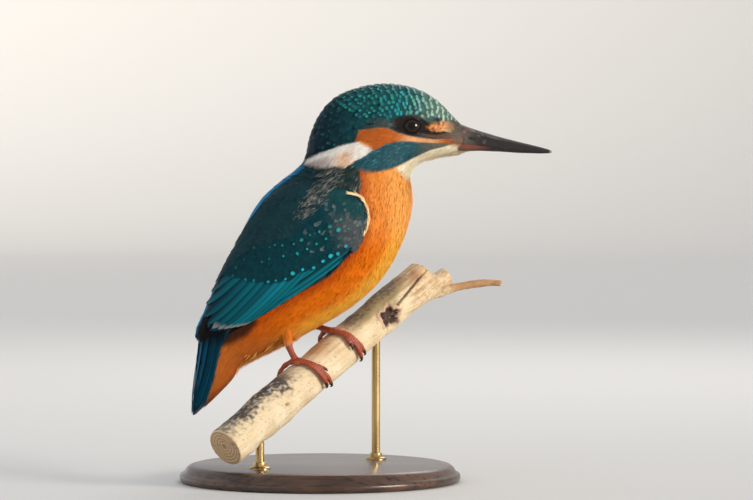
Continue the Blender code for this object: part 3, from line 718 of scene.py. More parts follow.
# ==================================================================== small feathers
# The body is clothed in small overlapping feathers: each is a thin bowed vane with its root in the skin and
# its tip on the outline, laid the way the real ones grow, from the bill back over head, neck and belly to
# the tail.
SPINE = np.array([(54, 0, 127), (36, 0, 131), (20, 0, 129), (12, 0, 120), (10, 0, 110), (5, 0, 98),
                  (-5, 0, 85), (-18, 0, 70), (-32, 0, 55), (-42, 0, 38), (-47, 0, 25)], float)
SPINE_STEP, SPINE_REACH = 2.5, 11.0
EYE_RADIUS = 3.1
WING = [(12.9, 106.2), (15.6, 104.0), (17.5, 99.2), (16.1, 93.2), (11.8, 85.1), (3.7, 76.6), (-11.1, 68.5),
        (-25.9, 60.3), (-39.6, 56.6), (-45.5, 52.2), (-50, 55), (-44.4, 60), (-39, 76), (-31, 93), (-24, 102),
        (-8, 106), (2, 107)]
SHOULDER = [(-8.5, 116.6), (-3, 115.4), (0.6, 112.5), (2.4, 109.0), (1.9, 106.2), (-2.6, 101.8), (-7.4, 98),
            (-8.6, 93.5), (-13, 91), (-20, 88.6), (-26, 86.2), (-32, 81.4), (-37, 74.5), (-41, 67), (-52, 62),
            (-60, 90), (-20, 124), (-12, 121)]
BODY_MARKS, BODY_SWELL = np.array((0.0, 0.36, 0.72, 1.0)), np.array((0.5, 1.0, 0.85))
# Their darker roots are painted shade, where each feather lies under the next.
BODY_SHADES = (0.87, 0.95, 1.0, 1.03)  # each feather is a little darker at its root than at its tip
HEAD_LINE, BELLY_LINE = 132.0, 88.0  # where face, breast and belly meet
SIDES = ((1, "left"), (-1, "right"))
TRIES = 5  # places tried for each feather wanted
UV_MARGIN, UV_VANE = 0.003, (0.0015, 0.003)  # of the map, round all the feathers and for each one's own
chance = np.random.default_rng(7)

spine_reached = np.concatenate([[0], np.cumsum(np.linalg.norm(np.diff(SPINE, axis=0), axis=1))])
spine_marks = np.arange(0, spine_reached[-1], SPINE_STEP)
spine_at = np.stack([np.interp(spine_marks, spine_reached, SPINE[:, i]) for i in range(3)], axis=1)
spine_way = unit(np.gradient(spine_at, axis=0))


def on_outline(p):
    """The nearest places on the outline to many places, and which way it faces there."""
    found = [outer.find_nearest(place) for place in p.tolist()]
    places = np.array([hit[0] for hit in found])
    return places, unit(outer_lean[outer_faces[[hit[2] for hit in found]]].mean(axis=1))


def spine_share(p):
    """How near each of many places is to each mark along the spine, as shares of one."""
    gap = p[:, None, :] - spine_at[None]
    share = np.exp(-(gap**2).sum(axis=2) / (2 * SPINE_REACH**2)) + 1e-12
    return share / share.sum(axis=1, keepdims=True)


def to_side(p, point):
    """A point on the left side for each place there, and its mirror image for each on the right."""
    return point * np.where(p[:, 1:2] < 0, (1, -1, 1), (1, 1, 1))


def level(way, lean):
    """Directions brought level with the surface that faces lean."""
    return unit(way - lean * (way * lean).sum(axis=-1, keepdims=True))


def lie(p, lean):
    """The way the feathers lie at many places: down the body, out from the bill and round the eye."""
    way = unit(spine_share(p) @ spine_way)
    from_bill = p - BILL_ROOT
    reach = np.linalg.norm(from_bill, axis=1, keepdims=True)
    way += 1.5 * np.exp(-reach / 11) * from_bill / reach
    from_eye = p - to_side(p, EYE)
    reach = np.linalg.norm(from_eye, axis=1, keepdims=True)
    way += 1.1 * np.exp(-(((reach - 3.5) / 2.6) ** 2)) * from_eye / reach
    off_patch = (p - (7.5, 0, 121.0)) / (13.0, 99.0, 4.0)
    way += 2.0 * np.exp(-(off_patch[:, ::2] ** 2).sum(axis=1, keepdims=True)) * (-0.94, 0, -0.30)
    return level(way, lean)


def unwrap(p):
    """Where places fall on the body's skin laid flat: round the body across, and along it upwards, 0 to 1."""
    share = spine_share(p)
    up = unit(np.cross(unit(share @ spine_way), (0.0, 1.0, 0.0)))
    out = p - share @ spine_at
    turn = np.arctan2(out[:, 1], (out * up).sum(axis=1)) / (2 * np.pi) + 0.5
    return np.stack([turn, share @ spine_marks / spine_marks[-1]], axis=1)


def scatter(keep, pitch):
    """Places strewn evenly over the part of the outline where keep is true, pitch millimetres apart."""
    corners = outer_points[outer_faces]
    middles = corners.mean(axis=1)
    spacing = pitch(middles)
    area = np.linalg.norm(np.cross(corners[:, 2] - corners[:, 0], corners[:, 3] - corners[:, 1]), axis=1) / 2
    wanted = keep(middles) * area / spacing**2
    picked = chance.choice(len(area), int(wanted.sum() * TRIES), p=wanted / wanted.sum())
    s, t = chance.random((2, len(picked), 1))
    a, b, c, d = corners[picked].transpose(1, 0, 2)
    tries = (a * (1 - s) + b * s) * (1 - t) + (d * (1 - s) + c * s) * t
    tree = kdtree.KDTree(len(tries))
    for number, place in enumerate(tries.tolist()):
        tree.insert(place, number)
    tree.balance()
    free = np.ones(len(tries), bool)
    kept = []
    for number, (place, apart) in enumerate(zip(tries.tolist(), spacing[picked].tolist())):
        if free[number]:
            kept.append(number)
            free[[near[1] for near in tree.find_range(place, apart)]] = False
    return tries[kept]


def point_vectors(mesh, name, values):
    layer = mesh.attributes.new(name, "FLOAT_VECTOR", "POINT")
    layer.data.foreach_set("vector", values.astype(np.float32).ravel())


def ring_faces(wide, rings):
    """One vane's faces, from its cut root ring by ring to its point; and which of them lie underneath."""
    tip = wide * rings
    faces, below = [(0, *range(wide - 1, 0, -1))], [True]
    for ring in range(0, tip, wide):
        for j in range(wide):
            a, b = ring + j, ring + (j + 1) % wide
            faces.append((a, b, tip) if ring + wide == tip else (a, b, b + wide, a + wide))
            below.append(j == wide - 1)
    return faces, below


def vanes(name, rows, half, bow, colors, marks, material, slot, over=(-1.0, 0.0, 1.0), soft=0.7, spots=None):
    """Many feathers as one mesh. rows are the places of each one's shaft from root to tip, which way is up
    there and the way it lies. half is its half width at each place but the last, where it comes to a point,
    and over the places across it, from one edge to the other. soft shades it with the body's roundness, as
    down does. spots are each one's spot: its half width, half length, how far its middle is from the tip, how
    strong it is, and its colour."""
    places, up, way = rows
    count, stops = places.shape[:2]
    over = np.array(over)
    wide = len(over)
    aside = unit(np.cross(way, up))[:, :-1, None, :] * over[:, None]
    sink = (up[:, :-1] * (half * bow)[..., None])[:, :, None, :] * (over**2)[:, None]
    points = (places[:, :-1, None, :] + aside * half[:, :, None, None] - sink).reshape(count, -1, 3)
    points = np.concatenate([points, places[:, -1:]], axis=1)
    faces, below = ring_faces(wide, stops - 1)
    loops, sizes = np.concatenate(faces), np.array([len(face) for face in faces])
    each = points.shape[1]
    mesh = bpy.data.meshes.new(name)
    mesh.vertices.add(count * each)
    mesh.vertices.foreach_set("co", (points * MM).astype(np.float32).ravel())
    mesh.loops.add(count * len(loops))
    corners = (loops[None] + each * np.arange(count)[:, None]).ravel()
    mesh.loops.foreach_set("vertex_index", corners.astype(np.int32))
    mesh.polygons.add(count * len(sizes))
    starts = np.concatenate([[0], np.cumsum(np.tile(sizes, count))[:-1]])
    mesh.polygons.foreach_set("loop_start", starts.astype(np.int32))
    mesh.update(calc_edges=True)
    mesh.shade_smooth()
    facing = up[:, :-1, None, :] + aside * (2 * np.reshape(bow, (-1, 1, 1, 1)) * (1 - soft))
    facing = unit(np.concatenate([facing.reshape(count, -1, 3), up[:, -1:]], axis=1))
    turned = np.where(np.repeat(below, sizes)[None, :, None], -1.0, 1.0)
    mesh.normals_split_custom_set((facing[:, loops] * turned).reshape(-1, 3).tolist())
    paint(mesh, "plumage", colors.reshape(-1, 3))
    side = np.concatenate([np.tile(over, stops - 1), [0.0]])
    along = np.concatenate([np.repeat(marks[:-1], wide), marks[-1:]])
    web = np.empty((count, each, 3))
    web[..., 0], web[..., 1], web[..., 2] = side, along, chance.random((count, 1))
    point_vectors(mesh, "web", web)
    if spots is not None:
        length = np.linalg.norm(np.diff(places, axis=1), axis=2).sum(axis=1)
        swell = np.hstack([np.repeat(half, wide, axis=1), half[:, -1:]])
        spot = np.empty((count, each, 3))
        spot[..., 0] = side * swell / spots[:, 0:1]
        spot[..., 1] = ((1 - along)[None] * length[:, None] - spots[:, 2:3]) / spots[:, 1:2]
        spot[..., 2] = spots[:, 3:4]
        point_vectors(mesh, "spot", spot)
        paint(mesh, "spot_color", np.repeat(spots[:, 4:7], each, axis=0))
    laid = unwrap(places[:, 0])
    laid = (laid - laid.min(axis=0)) / np.ptp(laid, axis=0) * (1 - 2 * UV_MARGIN) + UV_MARGIN
    flat = laid[:, None, :] + np.stack([side, along - 0.5], axis=1)[None] * UV_VANE
    unwrapped = mesh.uv_layers.new(name="OFBake")
    unwrapped.data.foreach_set("uv", flat.reshape(-1, 2)[corners].astype(np.float32).ravel())
    mesh.materials.append(material)
    fixed(placed(name, mesh), slot)


def down_vanes(tones, *shades):
    """Feathers' colours with one shade at each place down the shaft, three across it, and one at the tip."""
    # The darker shades at the root are painted shade, where each feather lies under the next.
    shade = np.concatenate([np.repeat(shades[:-1], 3), shades[-1:]])
    return tones[:, None, :] * shade[None, :, None]


def laid_back(tips, length, marks, way_at=lie, *, sway, loft, depth=1.0, slope=1.25):
    """Rows of places under feathers whose tips are given, walked back up the lie of the coat to the root.
    sway is how far they stray from it, in degrees, loft how high the tips stand and depth how deep the roots."""
    turn = np.radians(chance.normal(0, sway, len(tips)))[:, None]
    places, lean = on_outline(tips)
    rows = []
    for back in [0.0, *np.diff(marks)[::-1]]:
        if back:
            places, lean = on_outline(places - rows[-1][2] * (length * back)[:, None])
        way = way_at(places, lean)
        way = way * np.cos(turn) + np.cross(lean, way) * np.sin(turn)
        rows.append((places, lean, way))
    shaft, up, way = (np.stack(part, axis=1) for part in zip(*rows[::-1]))
    sunk = coat_depth(shaft.reshape(-1, 3)).reshape(len(tips), -1) * depth
    height = (loft * chance.random(len(tips)))[:, None] * marks - sunk * (1 - marks) ** slope
    return shaft + up * height[..., None], up, way


def clear_of_eye(tips, length):
    """Feathers just behind the eye are cut short, so that none crosses it."""
    places, lean = on_outline(tips)
    to_eye = to_side(tips, EYE) - places
    reach = np.linalg.norm(to_eye, axis=1)
    ahead = -(to_eye * lie(places, lean)).sum(axis=1) / reach
    return np.where((ahead > 0.2) & (reach < 11), np.clip(reach - EYE_RADIUS - 0.3, 0.5, length), length)


def wing_near(p):
    """True on the folded wings, the shoulders and the tail's blades, which have feathers of their own."""
    on_wing = inside(mirrored(p), WING) > 0.3
    on_tail = (inside(p, TAIL_EDGE) > 0.4) & (p[:, 2] < 56)
    return on_wing | on_tail | (inside(p, SHOULDER) > 1.2) & (inside(p, BACK) > 1.0)


def body_size(p):
    """How large the feathers are, from 0 by the bill to 1 on the body."""
    return ease(np.linalg.norm(p - BILL_ROOT, axis=1), 2, 48)


def feather_stuff(name, gloss, roughness=0.6, sheen=0.0, ragged=0.0):
    """Plumage in the markings' colour, and with a ragged edge given, with each feather's spot over it."""
    made, tree, shader = surface(name, (1, 1, 1), roughness, Specular_IOR_Level=gloss, Sheen_Weight=sheen,
                                 Sheen_Roughness=0.5, Sheen_Tint=(1.0, 0.86, 0.70, 1))
    color = attribute(tree, "plumage")
    if ragged:
        mark = node(tree, "SeparateXYZ", {0: attribute(tree, "spot", "Vector")}).outputs
        flat = node(tree, "CombineXYZ", {"X": mark["X"], "Y": mark["Y"]}).outputs[0]
        reach = vector_of(tree, "LENGTH", flat)
        reach = sum_of(tree, "MULTIPLY_ADD", mottle(tree, 3600, detail=2.0), ragged, reach)
        limits = {"Value": reach, "From Min": 1.05 + ragged / 2, "From Max": 0.70 + ragged / 2}
        share = sum_of(tree, "MULTIPLY", node(tree, "MapRange", limits).outputs[0], mark["Z"])
        color = blend(tree, share, color, attribute(tree, "spot_color"))
    dress(tree, shader, color)
    return made


def tufts(p, across):
    """Small feathers hang in tufts: how light each place's tuft is, and how near it is to the tuft's edge."""
    light, edge = [], []
    for place in (p / across).tolist():
        reach, middles = noise.voronoi(place)
        light.append(noise.noise(middles[0] * 7.3))
        edge.append(reach[1] - reach[0])
    return np.array(light), np.array(edge)


def tract(name, keep, material):
    """One tract of body feathers, over the part of the body where keep is true."""
    tips = scatter(lambda p: keep(p) & ~wing_near(p) & (inside(p, CAP) < 1.1),
                   lambda p: 0.34 + 0.19 * body_size(p))
    count, size = len(tips), body_size(tips)
    length = clear_of_eye(tips, (1.3 + 4.0 * size) * chance.uniform(0.85, 1.15, count))
    rows = laid_back(tips, length, BODY_MARKS, sway=6, loft=0.05, slope=1.6)
    half = (0.17 + 0.16 * size)[:, None] * BODY_SWELL * chance.uniform(0.8, 1.2, (count, 1))
    half = np.minimum(half, length[:, None] * 0.3)
    light, edge = tufts(rows[0][:, -1], 1.1 + 1.5 * size[:, None])
    tint = 1 + 0.13 * light * size + (0.13 - 0.06 * size) * chance.normal(0, 1, count)
    # A little darker near each tuft's edge: painted shade in the partings between tufts.
    tint = tint * (1 - 0.09 * size * ease(-edge, -0.16, -0.02))
    own = np.repeat(plumage(rows[0][:, 1:].reshape(-1, 3)).reshape(count, 3, 3), (6, 3, 1), axis=1)
    shade = np.concatenate([np.repeat(BODY_SHADES[:-1], 3), BODY_SHADES[-1:]])
    colors = np.clip(own * (tint[:, None] * shade)[..., None], 0, 1)
    vanes(name, rows, half, 0.12, colors, BODY_MARKS, material, "feather_orange")


def head_side(p):
    return p[:, 0] * 0.6 + p[:, 2] > HEAD_LINE


coat_mat = feather_stuff("body_feather", 0.07, sheen=0.05)
face_mat = feather_stuff("face_feather", 0.12, sheen=0.06)
dark_mat = feather_stuff("back_feather", 0.10)
TRACTS = (("face", head_side, face_mat),
          ("breast", lambda p: ~head_side(p) & (p[:, 2] > BELLY_LINE), coat_mat),
          ("belly", lambda p: p[:, 2] <= BELLY_LINE, coat_mat))
for part, there, material in TRACTS:
    for side, word in SIDES:
        tract(f"{part}_feathers_{word}", lambda p: there(p) & ((p[:, 1] > 0) == (side > 0)), material)

# ==================================================================== crown feathers
# The cap's feathers stand in rows across the head, each row a little over two millimetres behind the last.
# Every one is dark with a bright tip: on the forehead the tips join in bars, behind they part into spots.
ROW_MIDDLE, ROW_DEPTH = Vector((45.0, 0.0, 112.0)), 10.0
FIRST_ROW, LAST_ROW, ROW_END = math.radians(66), math.radians(178), math.radians(125)
CROWN_MARKS = np.array((0.0, 0.34, 0.62, 0.78, 0.90, 0.97, 1.0))
CROWN_SWELL = np.array((0.45, 0.88, 1.0, 0.98, 0.80, 0.48))
# Darker towards the root: painted shade where each feather lies under the next.
CROWN_SHADES = (0.6, 0.9, 1.0, 1.0, 1.05, 1.1, 1.1)
SPOT_LINE = [(-14, 131), (-2.5, 134.5), (3.5, 139.0), (10.7, 136.0), (15.2, 134.2), (24.7, 135.0),
             (30.4, 135.8), (37.9, 135.6), (41.7, 133.6), (60, 131)]
MINT, TEAL, SEA = (0.42, 0.56, 0.43), (0.030, 0.33, 0.24), (0.015, 0.30, 0.40)
NAPE_BLUE, CROWN_TOP_HIGHLIGHT = (0.004, 0.090, 0.150), (0.16, 0.30, 0.32)
CROWN_GREEN, FOREHEAD_GROUND = (0.010, 0.080, 0.080), (0.110, 0.180, 0.145)


def crown_rows():
    """The tips of the cap's feathers, row by row from the bill back, and how far apart each row's stand."""
    tips, steps = [], []
    angle, number = FIRST_ROW, 0
    while angle < LAST_ROW:
        up = Vector((math.cos(angle), 0, math.sin(angle)))
        top = outer.ray_cast(ROW_MIDDLE + up * 80, -up)[0]
        start = top - up * ROW_DEPTH
        forward = 1.0 - float(ease(math.degrees(angle), 72, 100))
        step = 1.55 - 0.65 * forward
        for side in (-1, 1):
            turn = (step / 2 if number % 2 == 0 else 0.0 if side < 0 else step) / ROW_DEPTH
            while turn < ROW_END:
                way = up * math.cos(turn) + Vector((0, side * math.sin(turn), 0))
                hit, _, _, far = outer.ray_cast(start, way)
                if hit is None:
                    break
                tips.append(hit)
                steps.append(step)
                turn += step / far
        angle += (2.45 - forward) / (top - ROW_MIDDLE).length
        number += 1
    keep = inside(np.array(tips), CAP) > 0.7
    return np.array(tips)[keep], np.array(steps)[keep]


def crown_feathers(name):
    tips, step = crown_rows()
    tips = on_outline(tips + chance.normal(0, 0.26, tips.shape))[0]
    count = len(tips)
    length = clear_of_eye(tips, step * 3.6 * chance.uniform(0.9, 1.1, count))
    half = (step * 0.64)[:, None] * CROWN_SWELL
    rows = laid_back(tips, length, CROWN_MARKS, sway=5, loft=0.06, slope=2.3, depth=0.85)
    x, _, z = rows[0][:, -1].T
    dark = layered(
        plumage(rows[0][:, -1]),
        (CROWN_GREEN, 0.6 * ease(x, 2, 12) * ease(z, 134, 139)),
        (FOREHEAD_GROUND, 0.85 * ease(x, 30, 46) * ease(z, 133, 136)),
    )
    dark = dark * chance.uniform(0.75, 1.3, (count, 1))
    behind = ease(-x, -8, 1)
    spotted = ease(z - np.interp(x, *np.array(SPOT_LINE).T), -1.0, 0.9) * (1 - behind)
    spotted = spotted + behind * (chance.random(count) < 0.5) * ease(z, 112, 122) * 0.8
    bar = ease(x, 17, 33)
    strength = spotted * (chance.uniform(0.2, 1.0, count) * (1 - bar) + chance.uniform(0.6, 1.0, count) * bar)
    hue = chance.random((count, 1))
    spot = np.array(TEAL) * hue + np.array(SEA) * (1 - hue)
    spot = layered(
        spot * chance.uniform(0.7, 1.25, (count, 1)),
        (MINT, ease(x, 28, 46)),
        # Spots on the top of the head are paler: a painted highlight.
        (CROWN_TOP_HIGHLIGHT, 0.6 * ease(z - 143.5, 0, 2.0) * (1 - behind)),
        (NAPE_BLUE, behind),
    )
    spots = np.empty((count, 7))
    spots[:, 0] = step * (0.46 + 0.36 * bar) * chance.uniform(0.6, 1.25, count)
    spots[:, 1] = step * (0.44 - 0.06 * bar) * chance.uniform(0.65, 1.2, count)
    spots[:, 2] = step * 0.50 + chance.normal(0, 0.08, count)
    spots[:, 3], spots[:, 4:] = strength, spot
    vanes(name, rows, half, 0.16, np.clip(down_vanes(dark, *CROWN_SHADES), 0, 1), CROWN_MARKS,
          feather_stuff("crown_feather", 0.12, 0.5, ragged=0.9), "feather_crown", spots=spots)


crown_feathers("crown_feathers")

# ==================================================================== wing and back feathers
# The folded wing is built up as the real one is: long flight feathers, the inner ones over the outer, then
# rows of coverts, most with a pale blue spot at the tip, and small plain ones at the bend. The shoulder
# feathers hang over all of them from the back.

# Each flight feather's root, its tip, how far it bulges down between, and its half width.
FLIGHTS = [(12.6, 86.2, -45.6, 50.2, 3.2, 1.3), (11.6, 87.6, -46.8, 51.6, 3.8, 1.4),
           (10.4, 89.0, -47.2, 53.8, 3.0, 1.5), (9.0, 90.2, -46.8, 56.8, 2.4, 1.5),
           (7.4, 91.4, -45.8, 60.2, 2.2, 1.6), (5.6, 92.4, -28.6, 58.6, 3.6, 1.7),
           (3.4, 93.0, -30.6, 58.1, 3.6, 1.8), (1.0, 93.4, -32.8, 57.7, 3.6, 1.9),
           (-1.6, 93.8, -35.0, 57.3, 3.6, 2.0), (-4.4, 94.0, -37.2, 57.1, 3.4, 2.1),
           (-7.4, 94.2, -39.4, 57.3, 3.2, 2.2), (-10.2, 94.2, -41.2, 58.6, 3.0, 2.3),
           (-13.0, 94.2, -42.4, 61.2, 2.6, 2.4), (-16, 94, -42.2, 65.4, 2.0, 2.5),
           (-18.6, 93.6, -40.6, 70.2, 1.4, 2.6), (-21, 93, -38.0, 75.6, 0.8, 2.6)]
PRIMARIES, LAST_COVERED = 5, 12  # the flights after these lie on top of the others
FLIGHT_MARKS = np.array((0.0, 0.1, 0.2, 0.3, 0.4, 0.5, 0.6, 0.7, 0.79, 0.87, 0.94, 0.98, 1.0))
FLIGHT_SWELL = np.array((0.7, 0.85, 0.95, 1.0, 1.0, 1.0, 1.0, 1.0, 0.97, 0.90, 0.70, 0.42))
FLIGHT_OVER = (-1.0, -0.82, -0.4, 0.0, 0.4, 0.82, 1.0)
# How blue each flight feather is across it; the dark last step is a painted shade line along its edge.
FLIGHT_WEB = np.array((0.0, 0.0, 0.0, 0.35, 0.80, 0.90, 0.05))
FLIGHT_DARK, FLIGHT_BLUE, PRIMARY_BLACK = (0.003, 0.030, 0.046), (0.005, 0.220, 0.285), (0.004, 0.003, 0.003)
WORN_TIP = (0.38, 0.34, 0.30)
FLIGHT_TILT = 0.05


def on_side(x, z, side):
    """The place on the outline seen straight from that side, or the nearest one, and which way it faces."""
    hits = []
    for a, b in zip(x, z):
        hit = outer.ray_cast(Vector((a, side * 70, b)), Vector((0, -side, 0)))[0]
        hits.append(hit if hit is not None and hit.y * side > 0 else Vector((a, side * 6.0, b)))
    return on_outline(np.array(hits))


def eased(rows):
    """Rows of directions or places evened out along each feather."""
    for _ in range(3):
        rows[:, 1:-1] = (rows[:, :-2] + rows[:, 1:-1] * 2 + rows[:, 2:]) / 4
    return rows


def raised(rows, lift):
    return rows[0] + rows[1] * lift, *rows[1:]


def stiff_vanes(name, rows, marks, bow, tilt, inner, slot):
    """Long stiff feathers, tilted so that each dips under the next one. rows are each one's places, the way
    the outline faces there, its height over it, its half widths and its colours, and inner tells which way is
    inwards."""
    places, lean, lift, half, colors = (np.stack(part) for part in zip(*rows))
    lean = unit(eased(lean))
    places = eased(places) + lean * lift[..., None]
    way = unit(np.gradient(places, axis=1))
    inward = unit(np.cross(way, lean))
    inward = inward * inner(inward, places)
    colors = np.concatenate([colors.reshape(len(rows), -1, 3), colors[:, -1, 3:4]], axis=1)
    rows = places, unit(lean + tilt * inward), way
    vanes(name, rows, half, bow, colors, marks, wing_mat, slot, FLIGHT_OVER, soft=0.3)


def flight_feathers(side, name):
    rows = []
    for number, (*ends, bulge, half) in enumerate(FLIGHTS):
        primary = number < PRIMARIES
        root, tip = np.array(ends[:2]), np.array(ends[2:])
        down = unit(tip - root)[::-1] * (1, -1)
        bend = (root + tip) / 2 - down * math.copysign(bulge, down[1])
        t = FLIGHT_MARKS[:, None]
        line = root * (1 - t) ** 2 + bend * 2 * t * (1 - t) + tip * t**2
        lift = 0.30 + 0.017 * number - 0.7 * (1 - FLIGHT_MARKS) ** 4
        lift = lift + 0.20 * primary * ease(FLIGHT_MARKS, 0.72, 0.94)
        shown = FLIGHT_MARKS - 0.07 * (number - LAST_COVERED - 1)
        over = 0.24 * ease(shown, 0.54, 0.68) - 0.25 * (1 - ease(shown, 0.42, 0.56))
        lift = lift + (number > LAST_COVERED) * over
        narrow = primary * ease(FLIGHT_MARKS[:-1], 0.66, 1.0) * 0.6
        black = (primary * ease(FLIGHT_MARKS[:-1], 0.45, 0.70))[:, None, None]
        tone = np.array(FLIGHT_DARK) * chance.uniform(0.8, 1.2)
        shade = tone * (1 - black) + np.array(PRIMARY_BLACK) * black
        blue = np.array(FLIGHT_BLUE) * chance.uniform(0.75, 1.25) * (1.0 if number < 9 else 0.62)
        bright = 0.75 + 0.25 * ease(-FLIGHT_MARKS[:-1], -0.9, -0.4)[:, None, None]
        share = FLIGHT_WEB[None, ::side, None] * (1 - black) * bright
        shade = shade * (1 - share) + blue * share
        worn = 0.0 if primary or number > 10 else 0.6
        shade[-1] = shade[-1] * (1 - worn) + np.array(WORN_TIP) * worn
        rows.append((*on_side(*line.T, side), lift, half * FLIGHT_SWELL * (1 - narrow), shade))
    bow = np.where(np.arange(len(rows)) > LAST_COVERED, 0.15, 0.07)[:, None]
    stiff_vanes(name, rows, FLIGHT_MARKS, bow, FLIGHT_TILT, lambda way, p: np.sign(way[..., 2:3]),
                "feather_wing")


wing_mat = feather_stuff("wing_feather", 0.05, 0.5)
spotted_mat = feather_stuff("covert_feather", 0.05, 0.5, ragged=1.3)
for side, word in SIDES:
    flight_feathers(side, f"flight_feathers_{word}")

# Rows of coverts lie over the roots of the flight feathers. The tips of each row stand where these lines
# run, and nearly every one carries a spot.
WING_WAY = np.array((-0.81, 0.0, -0.58))
ROUND_MARKS = np.array((0.0, 0.3, 0.55, 0.74, 0.86, 0.93, 0.975, 1.0))
ROUND_SWELL = np.array((0.5, 0.85, 1.0, 1.0, 0.86, 0.66, 0.38))
ROUND_OVER = (-1.0, -0.5, 0.0, 0.5, 1.0)
SMALL_MARKS = np.array((0.0, 0.35, 0.68, 0.86, 0.96, 1.0))
SMALL_SWELL = np.array((0.5, 0.95, 1.0, 0.78, 0.40))
GREATER_TIPS = [(9.0, 87.9), (6.1, 85.0), (3.8, 83.4), (1.4, 82.3), (-2.8, 80.5), (-6.5, 79.0), (-9.8, 77.4),
                (-12.9, 75.6), (-16.4, 75.4), (-19.2, 74.6), (-23.5, 74.6), (-27.3, 75.3), (-31.4, 76.0)]
MEDIAN_TIPS = [(9.8, 94.0), (6.1, 93.2), (1.7, 90.6), (-1.6, 88.2), (-4.3, 86.3), (-8.4, 84.8), (-13.1, 83.9),
               (-18.3, 82.2), (-21.7, 81.8), (-27.3, 82.8), (-31.0, 79.0)]
LESSER_TIPS = [(7.2, 97.4), (3.4, 94.6), (-0.4, 93.6), (-3.8, 91.4), (-6.9, 90.0), (-9.9, 88.6),
               (-13.2, 88.1), (-16.2, 87.8), (-18.4, 87.0), (-23.5, 86.9)]
SPOTTED_ROWS = ((GREATER_TIPS, 5.6, 1.45, 0.020, 0.44, 0.52), (MEDIAN_TIPS, 4.8, 1.3, 0.018, 0.34, 0.34),
                (LESSER_TIPS, 4.2, 1.15, 0.03, 0.24, 0.22))  # tips, length, half width, colour of the spots
RUMP = [(-24, 94), (-32.5, 84), (-35.0, 76), (-37.0, 68), (-39.5, 60), (-40.5, 52), (-41.5, 44), (-60, 44),
        (-60, 94)]
RUFFLE = [(3.0, 112.6), (1.8, 110.6), (0.4, 108.4), (-1.0, 106.4), (-2.5, 104.4), (-4.0, 102.4),
          (-5.6, 100.2), (-7.2, 98.0)]
COVERT_DARK, COVERT_GREY, COVERT_FLECK = (0.004, 0.041, 0.054), (0.080, 0.092, 0.096), (0.17, 0.21, 0.22)
SHOULDER_TEAL, SHOULDER_DARK, DOWN_GREY = (0.012, 0.060, 0.068), (0.008, 0.040, 0.050), (0.13, 0.145, 0.135)
COVERT_LIFT = 0.60


def wing_lie(p, lean):
    """The way the coverts lie: from the bend back along the folded wing."""
    way = np.tile(WING_WAY, (len(p), 1))
    way[:, 2] += 0.35 * ease(p[:, 0], 2, 16) * ease(-p[:, 2], -100, -88)
    return level(way, lean)


def wing_tone(p):
    """The ground colour of the small wing feathers: grey near the bend, teal at the shoulder, else dark."""
    x, z = p[:, 0], p[:, 2]
    grey = ease(x + 0.30 * (z - 92) + 3 * (mixed(p, 2.5, 61) - 0.5), 2.0, 10.5)
    grey = grey * ease(-z, -102.0, -95.5) * ease(z, 80, 85)
    return layered(
        COVERT_DARK,
        (COVERT_GREY, 0.85 * grey),
        (SHOULDER_TEAL, ease(z + 0.35 * x, 99.5, 105.5) * ease(x, -6, 2)),
    )


def near_ruffle(p):
    """How far the pale down at the shoulder feathers' ends shows between the feathers, from 0 to 1."""
    line = np.array(RUFFLE)
    across = np.interp(-p[:, 2], -line[:, 1], line[:, 0]) - p[:, 0]
    ends = ease(p[:, 2], 94, 98) * ease(-p[:, 2], -114.5, -111)
    wide = np.interp(p[:, 2], [95, 104, 109, 114], [1.0, 1.8, 3.2, 4.5])
    return ends * ease(-np.abs(across) / wide, -1.1, -0.3) * mixed(p, 1.3, 62)


def plain_coverts(side, name):
    """The plain small feathers that clothe the wing from its bend down to the tips of the greater coverts."""
    def here(p):
        x, y, z = p[:, 0], p[:, 1] * side, p[:, 2]
        on_wing = (y > 0) & (inside(p, WING) > 0.2) & (inside(p, SHOULDER) < 1.2) & ((y > 6.5) | (x > -22))
        return on_wing & ((z > np.interp(x, *np.array(GREATER_TIPS[::-1]).T)) | (x + 0.4 * (z - 90) > 10.2))

    tips = scatter(here, lambda p: 0.85 + 0.30 * ease(-p[:, 0], -12, 6))
    count = len(tips)
    size = 0.75 + 0.4 * ease(-tips[:, 0], -14, 4)
    rim = ease(-inside(tips, WING), -3.2, -0.8) * ease(tips[:, 0], 7, 9) * ease(tips[:, 2], 95, 99)
    rows = laid_back(tips, 4.4 * size * (1 - 0.3 * rim), SMALL_MARKS, wing_lie, sway=4, loft=0.04,
                     depth=(0.28 + 0.8 * rim)[:, None])
    rows = raised(rows, COVERT_LIFT)
    tone = wing_tone(rows[0][:, -1]) * chance.uniform(0.85, 1.15, (count, 1))
    flecked = (chance.random(count) < 0.24) & (tips[:, 2] < 104) & (tips[:, 0] > -6)
    tone = layered(
        tone,
        (COVERT_FLECK, chance.uniform(0.05, 0.6, count) * flecked),
        (DOWN_GREY, 0.6 * near_ruffle(tips)),
    )
    colors = down_vanes(tone, 0.8, 0.93, 1.0, 1.03, 1.05, 1.08)
    half = (0.90 * size)[:, None] * SMALL_SWELL
    vanes(name, rows, half, 0.08, colors, SMALL_MARKS, wing_mat, "feather_wing", soft=0.9)


